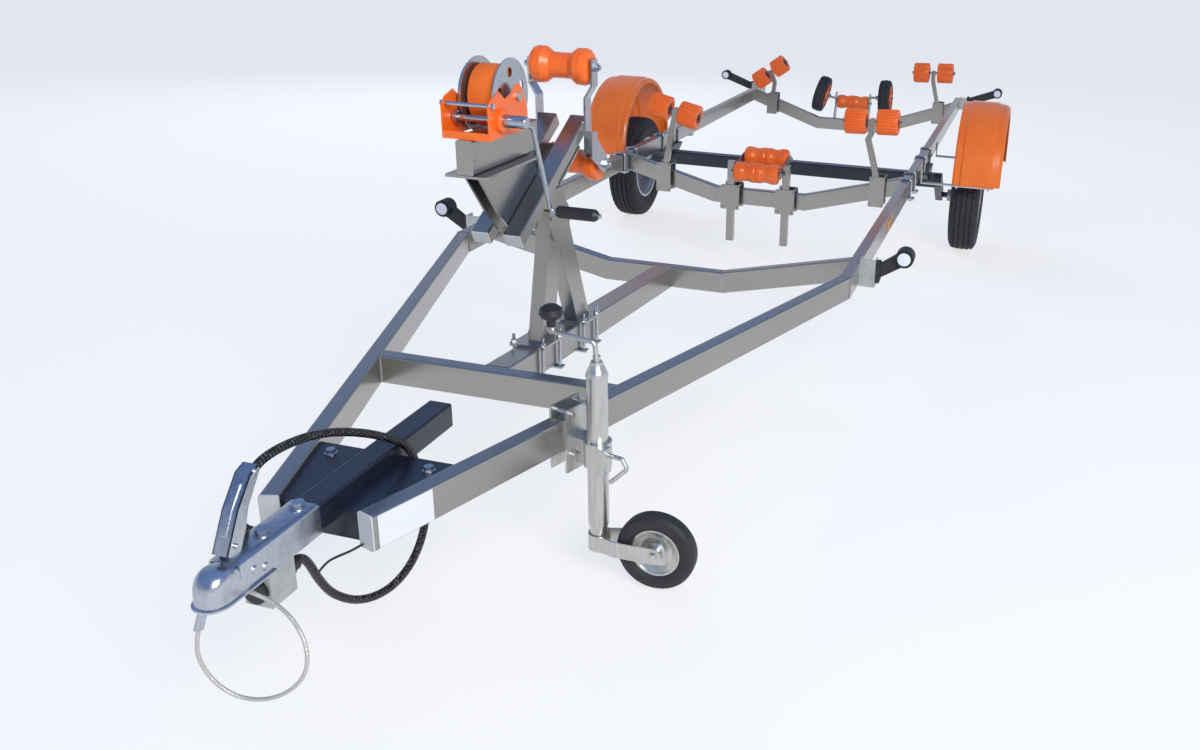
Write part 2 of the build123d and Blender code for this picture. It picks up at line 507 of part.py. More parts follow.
DRUM, DRUM_R, DRUM_HALF, STRAP_R = (-3512.0, 1243.0), 92.0, 44.0, 76.0
PINION = (-3604.0, 1199.0)
CHEEK_X, SHEET = 62.0, 3.0
DRUM_PIN_R, PINION_SHAFT_R = 7.0, 8.0
GEAR_R, PINION_R = 84.0, 17.0
with BuildPart() as winch_frame:
    with BuildSketch(front_plane(-3662)):
        outline(ribbon([(-CHEEK_X + SHEET / 2, 1280), (-CHEEK_X + SHEET / 2, BOX_TOP + SHEET / 2),
                        (CHEEK_X - SHEET / 2, BOX_TOP + SHEET / 2), (CHEEK_X - SHEET / 2, 1280)], SHEET))
    extrude(amount=-202)
    # the cheeks rise to the tie rod in front and to the drum's pin behind
    with BuildSketch(side_plane(-100)):
        outline([(-3700, BOX_TOP - 5), (-3660, BOX_TOP - 5), (-3662, 1236), (-3644, 1254), (-3604, 1266),
                 (-3578, 1246), (-3534, 1258), (-3522, 1274), (-3502, 1274), (-3486, 1258), (-3462, 1208),
                 (-3460, BOX_TOP - 5), (-3400, BOX_TOP - 5), (-3400, 1320), (-3700, 1320)])
    extrude(amount=200, mode=Mode.SUBTRACT)
    with BuildSketch(front_plane(-3662)):
        with Locations((0, BOX_TOP + 9)):
            Rectangle(2 * CHEEK_X - 2, 18)
    extrude(amount=-SHEET)
    # slots in the floor let the drum's flanges and gear through
    for x1, x2 in ((-58, -36), (36, 50)):
        with BuildSketch(Plane.XY.offset(BOX_TOP - 1)):
            outline([(x1, DRUM[0] - 72), (x2, DRUM[0] - 72), (x2, DRUM[0] + 60), (x1, DRUM[0] + 60)])
        extrude(amount=5, mode=Mode.SUBTRACT)
    with BuildSketch(side_plane(-100)):
        with Locations(PINION):
            Circle(PINION_SHAFT_R + RUNNING)
        with Locations(DRUM):
            Circle(DRUM_PIN_R)
        with Locations((-3646, 1238)):
            Circle(5)
    extrude(amount=200, mode=Mode.SUBTRACT)
park(winch_frame, "winch_frame")

# the tie rod and the drum's pin are held in the cheeks
with BuildPart() as winch_pins:
    for y, z, r, head in ((-3646, 1238, 5, 8), (*DRUM, DRUM_PIN_R, 11)):
        with BuildSketch(side_plane(-CHEEK_X)):
            with Locations((y, z)):
                Circle(r)
        extrude(amount=2 * CHEEK_X)
        for s in (-1, 1):
            with BuildSketch(side_plane(s * CHEEK_X)):
                with Locations((y, z)):
                    RegularPolygon(head, 6)
            extrude(amount=s * 7)
park(winch_pins, "winch_pins")

with BuildPart() as winch_drum:
    with BuildSketch(Plane(origin=(0, *DRUM), x_dir=(1, 0, 0), z_dir=(0, 0, 1))):
        for x1, x2, r in ((-DRUM_HALF, -DRUM_HALF + 3, DRUM_R), (DRUM_HALF - 3, DRUM_HALF, DRUM_R),
                          (-DRUM_HALF, DRUM_HALF, 22), (-DRUM_HALF - 9, -DRUM_HALF, GEAR_R)):
            outline([(x1, -DRUM_PIN_R - RUNNING), (x2, -DRUM_PIN_R - RUNNING), (x2, -r), (x1, -r)])
    revolve(axis=Axis((0, *DRUM), (1, 0, 0)))
    with BuildSketch(side_plane(DRUM_HALF - 3)):
        with Locations(DRUM):
            with PolarLocations(58, 5, 20):
                Circle(12)
    extrude(amount=3, mode=Mode.SUBTRACT)
park(winch_drum, "winch_drum")

with BuildPart() as winch_strap:
    with BuildSketch(Plane(origin=(0, *DRUM), x_dir=(1, 0, 0), z_dir=(0, 0, 1))):
        outline([(-33, -22 - SEAT), (33, -22 - SEAT), (33, -STRAP_R + 1), (31, -STRAP_R), (-31, -STRAP_R),
                 (-33, -STRAP_R + 1)])
    revolve(axis=Axis((0, *DRUM), (1, 0, 0)))
park(winch_strap, "winch_strap")

CRANK_R, GRIP_R, GRIP_FROM, GRIP_TO = 6.0, 16.0, 146.0, 256.0
CRANK_END = (-3482.0, 956.0)
CRANK_LINE = [(118, PINION[0], PINION[1]), (124, -3562, 1180), (128, *CRANK_END), (GRIP_TO + 8, *CRANK_END)]
with BuildPart() as winch_crank:
    with BuildSketch(side_plane(-74)):
        with Locations(PINION):
            Circle(PINION_SHAFT_R)
    extrude(amount=74 + 80)
    with BuildSketch(side_plane(70)):
        with Locations(PINION):
            Circle(15)
    extrude(amount=62)
    fillet(winch_crank.edges().filter_by(GeomType.CIRCLE).sort_by(Axis.X)[-1], 4)
    with BuildSketch(side_plane(-57)):
        with Locations(PINION):
            Circle(PINION_R)
    extrude(amount=10)
    with BuildLine() as crank_line:
        FilletPolyline(*CRANK_LINE, radius=13)
    with BuildSketch(Plane(origin=CRANK_LINE[0], z_dir=crank_line.line % 0)):
        Circle(CRANK_R)
    sweep(path=crank_line.line)
park(winch_crank, "winch_crank")

with BuildPart() as winch_grip:
    with BuildSketch(Plane(origin=(0, *CRANK_END), x_dir=(1, 0, 0), z_dir=(0, 0, 1))):
        outline([(GRIP_FROM, -CRANK_R - SEAT), (GRIP_TO, -CRANK_R - SEAT), (GRIP_TO, -GRIP_R + 5),
                 (GRIP_TO - 8, -GRIP_R), (GRIP_FROM + 6, -GRIP_R), (GRIP_FROM, -GRIP_R + 3)])
    revolve(axis=Axis((0, *CRANK_END), (1, 0, 0)))
park(winch_grip, "winch_grip")

# ---------------------------------------------------------------- bow rollers on two bent flat bars
BOW_UPPER, BOW_LOWER = (-3115.0, 1272.0), (-3045.0, 989.0)
BOW_HALF = 87.0
BAR_X = TWIN_X + TWIN_W / 2
with BuildPart() as bow_roller_arms:
    for s in (-1, 1):
        with BuildSketch(front_plane(-3137)):
            outline([(s * x, z) for x, z in ribbon([(BAR_X + 24, 1294), (BAR_X + 24, 1222), (BAR_X + 3, 1188),
                                                    (BAR_X + 3, 1022)], 6)])
        extrude(amount=-40)
        # the lower roller's plate leans back from the bar's foot
        with BuildSketch(side_plane(s * (BAR_X + 20))):
            outline([(-3136, 1092), (-3137, 1024), (-3066, 972), (-3045, 965), (-3024, 976), (-3022, 1000),
                     (-3098, 1072), (-3098, 1092)])
        extrude(amount=s * 5)
        with BuildSketch(side_plane(s * (BAR_X + 6))):
            outline([(-3136, 1090), (-3136, 1034), (-3098, 1034), (-3098, 1090)])
        extrude(amount=s * 14)
        for y, z, x1, x2 in ((*BOW_UPPER, BAR_X + 27, BOW_HALF + 26), (*BOW_LOWER, BAR_X + 25, BOW_HALF + 24)):
            with BuildSketch(side_plane(s * x1)):
                with Locations((y, z)):
                    RegularPolygon(13, 6)
            extrude(amount=s * 9)
            with BuildSketch(side_plane(s * x1)):
                with Locations((y, z)):
                    Circle(PIN_R)
            extrude(amount=s * (x2 - x1))
    for y, z in (BOW_UPPER, BOW_LOWER):
        with BuildSketch(side_plane(-BAR_X - 24)):
            with Locations((y, z)):
                Circle(PIN_R)
        extrude(amount=2 * (BAR_X + 24))
park(bow_roller_arms, "bow_roller_arms")

# half of a roller's outline from its end to its middle: distance from the middle, radius
BOW_HALF_LINE = ((BOW_HALF, 38), (BOW_HALF - 8, 48), (BOW_HALF - 18, 51), (BOW_HALF - 38, 50), (BOW_HALF - 50, 42),
                 (BOW_HALF - 58, 36), (0, 35))
KEEL_HALF_LINE = ((111, 39), (104, 47), (92, 49), (72, 48), (56, 43), (40, 43), (22, 48), (8, 49), (3, 47), (0, 44))
# name, station, height, outline, half the pin's clear length; the bow's lower roller runs between wider plates
ROLLERS = (("bow_roller_upper", *BOW_UPPER, BOW_HALF_LINE), ("bow_roller_lower", *BOW_LOWER, BOW_HALF_LINE[1:]),
           ("keel_roller_front", -900.0, 516.0, KEEL_HALF_LINE), ("keel_roller_middle", -700.0, 556.0, KEEL_HALF_LINE),
           ("keel_roller_rear", CROSS_D_Y + TUBE_W + 73, 482.0, KEEL_HALF_LINE))
for name, y, z, half_line in ROLLERS:
    with BuildPart() as roller:
        with BuildSketch(Plane(origin=(0, y, z), x_dir=(1, 0, 0), z_dir=(0, 0, 1))):
            end = half_line[0][0]
            outline([(end, -PIN_R - RUNNING)] + [(x, -r) for x, r in half_line]
                    + [(-x, -r) for x, r in half_line[-2::-1]] + [(-end, -PIN_R - RUNNING)])
        revolve(axis=Axis((0, y, z), (1, 0, 0)))
    park(roller, name)

# ---------------------------------------------------------------- keel roller cradle on the front keel tube
CRADLE_X, CRADLE_T = 117.0, 5.0
KEEL_POST_X, KEEL_POST_W, POST_FACE = 138.0, 36.0, CROSS_C_Y
with BuildPart() as keel_cradle:
    for s in (-1, 1):
        with BuildSketch(side_plane(s * CRADLE_X)):
            outline(ribbon([(-900, 516), (-700, 556)], 40))
            for y, z in ((-900, 516), (-700, 556)):
                with Locations((y, z)):
                    Circle(20)
        extrude(amount=s * CRADLE_T)
        with BuildSketch(Plane.XY.offset(152)):
            with Locations((s * (CRADLE_X + CRADLE_T + KEEL_POST_W / 2), POST_FACE - KEEL_POST_W / 2)):
                RectangleRounded(KEEL_POST_W, KEEL_POST_W, 4)
        extrude(amount=405)
        # clamp plates in front of the post and behind the cross tube, drawn up by four bolts
        for y, t in ((POST_FACE - KEEL_POST_W, 6), (POST_FACE + TUBE_W + 6, 6)):
            with BuildSketch(front_plane(y)):
                with Locations((s * (CRADLE_X + CRADLE_T + KEEL_POST_W / 2), 378)):
                    RectangleRounded(96, 124, 6)
            extrude(amount=t)
        for x in (-36, 36):
            for z in (327, 429):
                with BuildSketch(front_plane(POST_FACE - KEEL_POST_W - 14)):
                    with Locations((s * (CRADLE_X + CRADLE_T + KEEL_POST_W / 2) + x, z)):
                        Circle(5)
                extrude(amount=-(KEEL_POST_W + TUBE_W + 28))
    for y, z in ((-900, 516), (-700, 556)):
        with BuildSketch(side_plane(-CRADLE_X - CRADLE_T - 10)):
            with Locations((y, z)):
                Circle(PIN_R)
        extrude(amount=2 * (CRADLE_X + CRADLE_T + 10))
        for s in (-1, 1):
            with BuildSketch(side_plane(s * (CRADLE_X + CRADLE_T))):
                with Locations((y, z)):
                    RegularPolygon(12, 6)
            extrude(amount=s * 7)
park(keel_cradle, "keel_cradle")

# ---------------------------------------------------------------- wobble rollers on posts in front of the keel tubes
POST_T, CLAMP_T = 30.0, 6.0
# name, front face of the cross tube, post line (x, z) from foot to head, tilt of the pin, half the rollers' spacing,
# half a roller's length, roller radius
WOBBLE = (("front_right", CROSS_C_Y, ((608, 440), (588, 514), (528, 720), (541, 746), (541, 803)), 2, 76, 51, 60),
          ("front_left", CROSS_C_Y, ((-502, 420), (-442, 757), (-440, 780)), -13, 76, 51, 60),
          ("rear_right", CROSS_D_Y, ((622, 440), (616, 504), (572, 668), (566, 700), (566, 742)), 2, 80, 52, 66),
          ("rear_left", CROSS_D_Y, ((-572, 430), (-566, 500), (-556, 600), (-571, 640), (-589, 672)), 36, 79, 50, 62))
for end in ("front", "rear"):
    with BuildPart() as posts:
        for name, face, line, tilt, spread, half, r in [w for w in WOBBLE if w[0].startswith(end)]:
            (x0, z0), (hx, hz) = line[0], line[-1]
            pin_x, pin_z = cos(radians(tilt)), sin(radians(tilt))
            with BuildSketch(front_plane(face)):
                outline(ribbon(line, 26))
                with Locations((hx, hz)):
                    Circle(17)
            extrude(amount=POST_T)
            pin_half = spread + half + 14
            with BuildSketch(Plane(origin=(hx - pin_x * pin_half, face - POST_T / 2, hz - pin_z * pin_half),
                                   x_dir=(0, 1, 0), z_dir=(pin_x, 0, pin_z))):
                Circle(PIN_R)
            extrude(amount=2 * pin_half)
            for k in (-1, 1):
                with BuildSketch(Plane(origin=(hx + k * pin_x * (spread + half + 6), face - POST_T / 2,
                                               hz + k * pin_z * (spread + half + 6)),
                                       x_dir=(0, 1, 0), z_dir=(k * pin_x, 0, k * pin_z))):
                    RegularPolygon(12, 6)
                extrude(amount=8)
            # clamp plates before the post and behind the cross tube with their four bolts
            cx = line[1][0] if len(line) > 3 else line[0][0] * 0.85 + line[1][0] * 0.15
            rise = atan2(FRAME_TOP - MID_TOP[face], RAIL_IN - BEND_X)
            cz = MID_TOP[face] + (abs(cx) - BEND_X) * tan(rise) - 41
            for y in (face - POST_T, face + TUBE_W + CLAMP_T):
                with BuildSketch(front_plane(y)):
                    with Locations((cx, cz)):
                        RectangleRounded(74, 146, 6)
                extrude(amount=CLAMP_T)
            for x in (-28, 28):
                for z in (-63, 63):
                    with BuildSketch(front_plane(face - POST_T - CLAMP_T - 8)):
                        with Locations((cx + x, cz + z)):
                            Circle(4.5)
                    extrude(amount=-(POST_T + TUBE_W + 2 * CLAMP_T + 16))
    park(posts, f"wobble_posts_{end}")

for name, face, line, tilt, spread, half, r in WOBBLE:
    hx, hz = line[-1]
    pin_x, pin_z = cos(radians(tilt)), sin(radians(tilt))
    with BuildPart() as pair:
        # one tilted pin carries two rollers; each has a recess at its ends and rounded shoulders
        with BuildSketch(Plane(origin=(hx, face - POST_T / 2, hz), x_dir=(pin_x, 0, pin_z), z_dir=(0, -1, 0))):
            for k in (-1, 1):
                outline([(k * spread + a, b) for a, b in
                         ((-half + 3, PIN_R + RUNNING), (half - 3, PIN_R + RUNNING), (half - 3, 30), (half, 34),
                          (half, r - 6), (half - 5, r), (-half + 5, r), (-half, r - 6), (-half, 34), (-half + 3, 30))])
        revolve(axis=Axis((hx, face - POST_T / 2, hz), (pin_x, 0, pin_z)))
    park(pair, f"wobble_rollers_{name}")

# ---------------------------------------------------------------- rear keel bracket and the two guide wheels
D_BACK = CROSS_D_Y + TUBE_W
GUIDE_X, GUIDE_Y, GUIDE_Z, GUIDE_R, GUIDE_HALF = 230.0, D_BACK + 58, 530.0, 127.0, 40.0
GUIDE_LEAN = {-1: 14.0, 1: 2.0}
with BuildPart() as rear_keel_bracket:
    for s in (-1, 1):
        lean = radians(GUIDE_LEAN[s])
        with BuildSketch(side_plane(s * 118)):
            outline([(D_BACK, 298), (D_BACK, 378), (D_BACK + 28, 460), (D_BACK + 30, GUIDE_Z + 20),
                     (D_BACK + 86, GUIDE_Z + 20), (D_BACK + 104, 470), (D_BACK + 58, 298)])
        extrude(amount=s * 8)
        with BuildSketch(front_plane(D_BACK)):
            with Locations((s * 140, 335)):
                RectangleRounded(76, 78, 4)
        extrude(amount=-6)
        # stub pin of the guide wheel, square to the leaning wheel
        ax, az = s * cos(lean), sin(lean)
        reach = (GUIDE_X - 122) / cos(lean)
        with BuildSketch(Plane(origin=(s * GUIDE_X - ax * reach, GUIDE_Y, GUIDE_Z - az * reach), x_dir=(0, 1, 0),
                               z_dir=(ax, 0, az))):
            Circle(PIN_R)
        extrude(amount=reach + GUIDE_HALF + 14)
        with BuildSketch(Plane(origin=(s * GUIDE_X - ax * (GUIDE_HALF + 26), GUIDE_Y,
                                       GUIDE_Z - az * (GUIDE_HALF + 26)), x_dir=(0, 1, 0), z_dir=(ax, 0, az))):
            Circle(16)
        extrude(amount=20)
        with BuildSketch(Plane(origin=(s * GUIDE_X + ax * (GUIDE_HALF + 6), GUIDE_Y,
                                       GUIDE_Z + az * (GUIDE_HALF + 6)), x_dir=(0, 1, 0), z_dir=(ax, 0, az))):
            RegularPolygon(12, 6)
        extrude(amount=8)
    with BuildSketch(side_plane(-134)):
        with Locations((D_BACK + 73, 482)):
            Circle(PIN_R)
    extrude(amount=268)
park(rear_keel_bracket, "rear_keel_bracket")

for side, s in (("left", -1), ("right", 1)):
    lean = radians(GUIDE_LEAN[s])
    ax, az = s * cos(lean), sin(lean)
    with BuildPart() as guide:
        with BuildSketch(Plane(origin=(s * GUIDE_X, GUIDE_Y, GUIDE_Z), x_dir=(ax, 0, az), z_dir=(0, -s, 0))):
            half_line = [(GUIDE_HALF, PIN_R + RUNNING), (GUIDE_HALF, 30), (12, 34), (12, GUIDE_R - 55),
                         (GUIDE_HALF - 8, GUIDE_R - 49), (GUIDE_HALF, GUIDE_R - 30), (GUIDE_HALF - 4, GUIDE_R - 9),
                         (GUIDE_HALF - 21, GUIDE_R)]
            outline(half_line + [(-a, b) for a, b in half_line[::-1]])
        revolve(axis=Axis((s * GUIDE_X, GUIDE_Y, GUIDE_Z), (ax, 0, az)))
    park(guide, f"guide_wheel_{side}")

# ---------------------------------------------------------------- U-bolts over the rails, lamp brackets and lamps
UBOLT_R = 5.0
with BuildPart() as rail_ubolts:
    for s in (-1, 1):
        for y in (-880, -720, AXLE_Y - 126, AXLE_Y + 126):
            x1, x2 = s * (RAIL_IN - UBOLT_R - SEAT), s * (RAIL_OUT + UBOLT_R + SEAT)
            top = FRAME_TOP + UBOLT_R + SEAT
            with BuildLine() as bow:
                FilletPolyline((x1, y, FRAME_BOTTOM), (x1, y, top), (x2, y, top), (x2, y, FRAME_BOTTOM), radius=11)
            with BuildSketch(Plane(origin=(x1, y, FRAME_BOTTOM), z_dir=(0, 0, 1))):
                Circle(UBOLT_R)
            sweep(path=bow.line)
        with BuildSketch(Plane.XY.offset(FRAME_BOTTOM - 8)):
            with Locations((s * RAIL_X, -880), (s * RAIL_X, -720)):
                RectangleRounded(90, 44, 6)
        extrude(amount=8)
        for x in (RAIL_IN - UBOLT_R - SEAT, RAIL_OUT + UBOLT_R + SEAT):
            for y in (-880, -720):
                with BuildSketch(Plane.XY.offset(FRAME_BOTTOM - 16)):
                    with Locations((s * x, y)):
                        RegularPolygon(9, 6)
                extrude(amount=8)
park(rail_ubolts, "rail_ubolts")

MARKER = (901.0, -2270.0, 577.0)
TAIL = (998.0, 1960.0, 597.0)
LAMP_R = 33.0
with BuildPart() as lamp_brackets:
    for s in (-1, 1):
        with BuildSketch(Plane.XY.offset(459)):
            outline([(s * x, y) for x, y in ribbon([(RAIL_OUT + 1.5, -2244), (RAIL_OUT + 1.5, -2291),
                                                    (801, -2291), (801, -2244)], 3)])
        extrude(amount=101)
        with BuildSketch(Plane.XY.offset(470)):
            outline([(s * x, y) for x, y in ribbon([(RAIL_OUT + 1.5, 1990), (RAIL_OUT + 1.5, 1931), (790, 1931),
                                                    (790, 1990)], 3)])
        extrude(amount=84)
park(lamp_brackets, "lamp_brackets")

with BuildPart() as marker_lamps:
    for s in (-1, 1):
        for (x, y, z), foot, low in ((MARKER, 802.5, 478), (TAIL, 791.5, 486)):
            with BuildSketch(front_plane(y - 21)):
                with Locations((s * (foot + 8), low + 36)):
                    RectangleRounded(16, 76, 4)
            extrude(amount=-42)
            # rubber arm, wider at its foot
            with BuildSketch(front_plane(y - 14)):
                outline([(s * a, b) for a, b in ((foot + 10, low + 14), (foot + 10, low + 64),
                                                 (x - 8, z + 24), (x + 6, z - 26))])
            extrude(amount=-28)
            with BuildSketch(front_plane(y - 27)):
                with Locations((s * x, z)):
                    Circle(LAMP_R)
            extrude(amount=-54)
            with BuildSketch(front_plane(y - 32)):
                with Locations((s * x, z)):
                    Circle(LAMP_R - 5)
            extrude(amount=-64)
park(marker_lamps, "marker_lamps")

# ---------------------------------------------------------------- jack: bracket, tube with its crank, leg, fork, wheel
LEG_R = 22.0
TUBE_R, TUBE_BORE = 25.5, LEG_R + SEAT
TUBE_LOW, TUBE_HIGH, CAP_HIGH = 267.0, 659.0, 694.0
CLAMP_LOW, CLAMP_HIGH = 427.0, 491.0
ARM_X_AT_JACK = RAIL_X - (ELBOW_Y - JACK_Y) * tan(ARM_TURN)
TO_ARM = (JACK_X - ARM_X_AT_JACK) * cos(ARM_TURN) - TUBE_W / 2
OUTWARD = (cos(ARM_TURN), -sin(ARM_TURN), 0)
ALONG = (sin(ARM_TURN), cos(ARM_TURN), 0)


def jack_plane(out, z):
    """Horizontal plane on the jack's axis turned with the arm: sketch X points out from the arm."""
    return Plane(origin=(JACK_X + out * OUTWARD[0], JACK_Y + out * OUTWARD[1], z), x_dir=OUTWARD, z_dir=(0, 0, 1))


with BuildPart() as jack_bracket:
    for out in (-TO_ARM + 3, -TO_ARM - TUBE_W - 3):
        with BuildSketch(jack_plane(out, 405)):
            Rectangle(6, 100)
        extrude(amount=163)
    with BuildSketch(jack_plane(0, CLAMP_LOW)):
        with Locations((-TO_ARM / 2 - 7, 0)):
            Rectangle(TO_ARM - 14, 46)
        Circle(34)
        with Locations((36, -22)):
            Rectangle(26, 26)
        Circle(TUBE_R + SEAT, mode=Mode.SUBTRACT)
    extrude(amount=CLAMP_HIGH - CLAMP_LOW)
    for y in (-34, 34):
        for z in (452 - 2, 556):
            with BuildSketch(Plane(origin=jack_plane(-TO_ARM - TUBE_W - 14, z).origin
                                   + Vector(*ALONG) * y, x_dir=ALONG, z_dir=OUTWARD)):
                Circle(5)
            extrude(amount=TUBE_W + 32)
    # toggle screw of the clamp with its bent handle
    with BuildLine() as handle:
        FilletPolyline((400, -3800, 470), (450, -3812, 470), (464, -3815, 448), (420, -3812, 404), radius=7)
    with BuildSketch(Plane(origin=handle.line @ 0, z_dir=handle.line % 0)):
        Circle(5.5)
    sweep(path=handle.line)
park(jack_bracket, "jack_bracket")

with BuildPart() as jack_tube:
    with BuildSketch(Plane.XY.offset(TUBE_LOW)):
        with Locations((JACK_X, JACK_Y)):
            Circle(TUBE_R)
            Circle(TUBE_BORE, mode=Mode.SUBTRACT)
    extrude(amount=TUBE_HIGH - TUBE_LOW)
    with BuildSketch(Plane(origin=(JACK_X, JACK_Y, 0), x_dir=(1, 0, 0), z_dir=(0, -1, 0))):
        outline([(0, TUBE_HIGH - 6), (TUBE_R, TUBE_HIGH - 6), (TUBE_R + 1.5, TUBE_HIGH), (TUBE_R - 1, TUBE_HIGH + 9),
                 (16, CAP_HIGH - 8), (14, CAP_HIGH), (9, CAP_HIGH + 2), (9, CAP_HIGH + 14), (0, CAP_HIGH + 14)])
    revolve(axis=Axis((JACK_X, JACK_Y, 0), (0, 0, 1)))
    with BuildLine() as crank:
        FilletPolyline((JACK_X, JACK_Y, CAP_HIGH), (JACK_X - 4, JACK_Y, 740), (262, JACK_Y, 754),
                       (262, JACK_Y, 786), radius=13)
    with BuildSketch(Plane(origin=crank.line @ 0, z_dir=crank.line % 0)):
        Circle(6)
    sweep(path=crank.line)
park(jack_tube, "jack_tube")

with BuildPart() as jack_knob:
    with BuildSketch(Plane(origin=(262, JACK_Y, 0), x_dir=(1, 0, 0), z_dir=(0, -1, 0))):
        outline([(6 + SEAT, 766), (11, 766), (12, 782), (24, 788), (29, 798), (26, 810), (16, 817), (0, 819),
                 (0, 787), (6 + SEAT, 787)])
    revolve(axis=Axis((262, JACK_Y, 0), (0, 0, 1)))
park(jack_knob, "jack_knob")

LEG_LOW, LEG_HIGH = JACK_PIN_Z - 9.5, 560.0
with BuildPart() as jack_leg:
    with BuildSketch(Plane.XY.offset(LEG_LOW)):
        with Locations((JACK_X, JACK_Y)):
            Circle(LEG_R)
    extrude(amount=LEG_HIGH - LEG_LOW)
    with BuildSketch(Plane.XY.offset(LEG_LOW + 6)):
        with Locations((JACK_X, JACK_Y)):
            Circle(LEG_R - 3)
    extrude(amount=LEG_HIGH - LEG_LOW - 6, mode=Mode.SUBTRACT)
park(jack_leg, "jack_leg")

STRAP_HALF, STRAP_T = 21.0, 4.0
FORK_IN = 31.0
FORK_OUT = FORK_IN + STRAP_T
HUG_R = LEG_R + SEAT
FORK_HIGH = JACK_PIN_Z + STRAP_HALF
FORK_FLOOR = LEG_LOW - SEAT
PIN_X = JACK_X + JACK_TRAIL
with BuildPart() as jack_fork:
    # one flat strap hugs the leg from behind; its two ends flare out and carry the wheel between them
    with BuildSketch(Plane.XY.offset(JACK_PIN_Z - STRAP_HALF)):
        with Locations((JACK_X, JACK_Y)):
            Circle(HUG_R + STRAP_T)
            Circle(HUG_R, mode=Mode.SUBTRACT)
        with Locations((JACK_X + 40, JACK_Y)):
            Rectangle(80, 100, mode=Mode.SUBTRACT)
        for s in (-1, 1):
            outline([(x, JACK_Y + s * y) for x, y in
                     ribbon([(JACK_X, HUG_R + STRAP_T / 2), (JACK_X + 20, HUG_R + STRAP_T / 2),
                             (JACK_X + 48, FORK_IN + STRAP_T / 2), (PIN_X + STRAP_HALF, FORK_IN + STRAP_T / 2)],
                            STRAP_T)])
    extrude(amount=2 * STRAP_HALF)
    with BuildSketch(front_plane(JACK_Y - FORK_OUT - 1)):
        with Locations((PIN_X + STRAP_HALF / 2 + 1, JACK_PIN_Z)):
            Rectangle(STRAP_HALF + 2, 2 * STRAP_HALF + 2)
        with Locations((PIN_X, JACK_PIN_Z)):
            Circle(STRAP_HALF, mode=Mode.SUBTRACT)
    extrude(amount=-2 * (FORK_OUT + 1), mode=Mode.SUBTRACT)
    with BuildSketch(Plane.XY.offset(FORK_FLOOR - 6)):
        with Locations((JACK_X, JACK_Y)):
            Circle(HUG_R + STRAP_T)
    extrude(amount=6)
    with BuildSketch(front_plane(JACK_Y - FORK_OUT - 8)):
        with Locations((PIN_X, JACK_PIN_Z)):
            Circle(6)
    extrude(amount=-2 * (FORK_OUT + 8))
    for s in (-1, 1):
        with BuildSketch(front_plane(JACK_Y + s * FORK_OUT)):
            with Locations((PIN_X, JACK_PIN_Z)):
                RegularPolygon(11, 6)
        extrude(amount=-s * 6)
park(jack_fork, "jack_fork")

JACK_AXIS = Axis((PIN_X, JACK_Y, JACK_PIN_Z), (0, 1, 0))
JACK_RIM_R = 62.0
with BuildPart() as jack_tyre:
    with BuildSketch(Plane(origin=(PIN_X, JACK_Y, JACK_PIN_Z), x_dir=(0, 1, 0), z_dir=(1, 0, 0))):
        outline([(-18, JACK_RIM_R + SEAT), (18, JACK_RIM_R + SEAT), (23, 70), (25, 82), (23, 93), (14, 99),
                 (0, JACK_R), (-14, 99), (-23, 93), (-25, 82), (-23, 70)])
    revolve(axis=JACK_AXIS)
park(jack_tyre, "jack_tyre")
with BuildPart() as jack_rim:
    with BuildSketch(Plane(origin=(PIN_X, JACK_Y, JACK_PIN_Z), x_dir=(0, 1, 0), z_dir=(1, 0, 0))):
        outline([(-25, 6 + RUNNING), (25, 6 + RUNNING), (25, 14), (10, 16), (6, 22), (6, 40), (14, 54), (17, 58),
                 (17, JACK_RIM_R), (-17, JACK_RIM_R), (-17, 58), (-14, 54), (-6, 40), (-6, 22), (-10, 16), (-25, 14)])
    revolve(axis=JACK_AXIS)
park(jack_rim, "jack_rim")

# ---------------------------------------------------------------- cords: light cable with its plug, thin lead, safety rope
def bends(points, share=0.45):
    """Radius at each inner point: a share of the shorter run over the tangent of half the turn."""
    radii = []
    for a, b, c in zip(points, points[1:], points[2:]):
        u, v = Vector(*b) - Vector(*a), Vector(*c) - Vector(*b)
        radii.append(round(share * min(u.length, v.length) / tan(radians(u.get_angle(v)) / 2), 1))
    return radii


PLUG_Y, PLUG_Z = -4497.0, 462.0
with BuildPart() as plug:
    with BuildSketch(Plane(origin=(0, PLUG_Y, PLUG_Z), x_dir=(0, 1, 0), z_dir=(1, 0, 0))):
        outline([(-16, 0), (-16, 24), (-8, 24), (-8, 22), (78, 22), (84, 18), (97, 18), (97, 0)])
    revolve(axis=Axis((0, PLUG_Y, PLUG_Z), (0, 1, 0)))
park(plug, "plug")

# name, diameter, path
CORDS = (("light_cable", 18.0, ((0, -4400, 462), (0, -4383, 462), (2, -4362, 438), (0, -4338, 384),
                                (2, -4302, 322), (22, -4250, 275), (46, -4190, 262), (62, -4130, 278),
                                (70, -4080, 319), (73, -4050, 379), (67, -4040, 443), (55, -4041, 497),
                                (45, -4056, 556), (30, -4130, 612), (11, -4215, 658), (-10, -4285, 681),
                                (-26, -4350, 687), (-37, -4405, 682), (-39, -4445, 664), (-42, -4470, 625),
                                (-50, -4474, 580), (-57, -4440, 540), (-60, -4390, 510), (-60, -4345, 497),
                                (-60, SADDLE_FRONT_Y, 497))),
         ("safety_rope", 8.0, ((21, -4553, 500.3), (50, -4556, 498), (95, -4563, 492), (139, -4575, 472), (168, -4588, 434),
                               (168, -4600, 387), (134, -4611, 348), (84, -4620, 326), (33, -4630, 331),
                               (-2, -4640, 368), (-16, -4646, 415), (-12, -4645, 452), (-9, -4641, 470))),
         ("thin_lead", 5.0, ((100, -4318.2, 472), (92, -4342, 470), (66, -4352, 458), (34, -4350, 436),
                             (13, -4348, 408))))
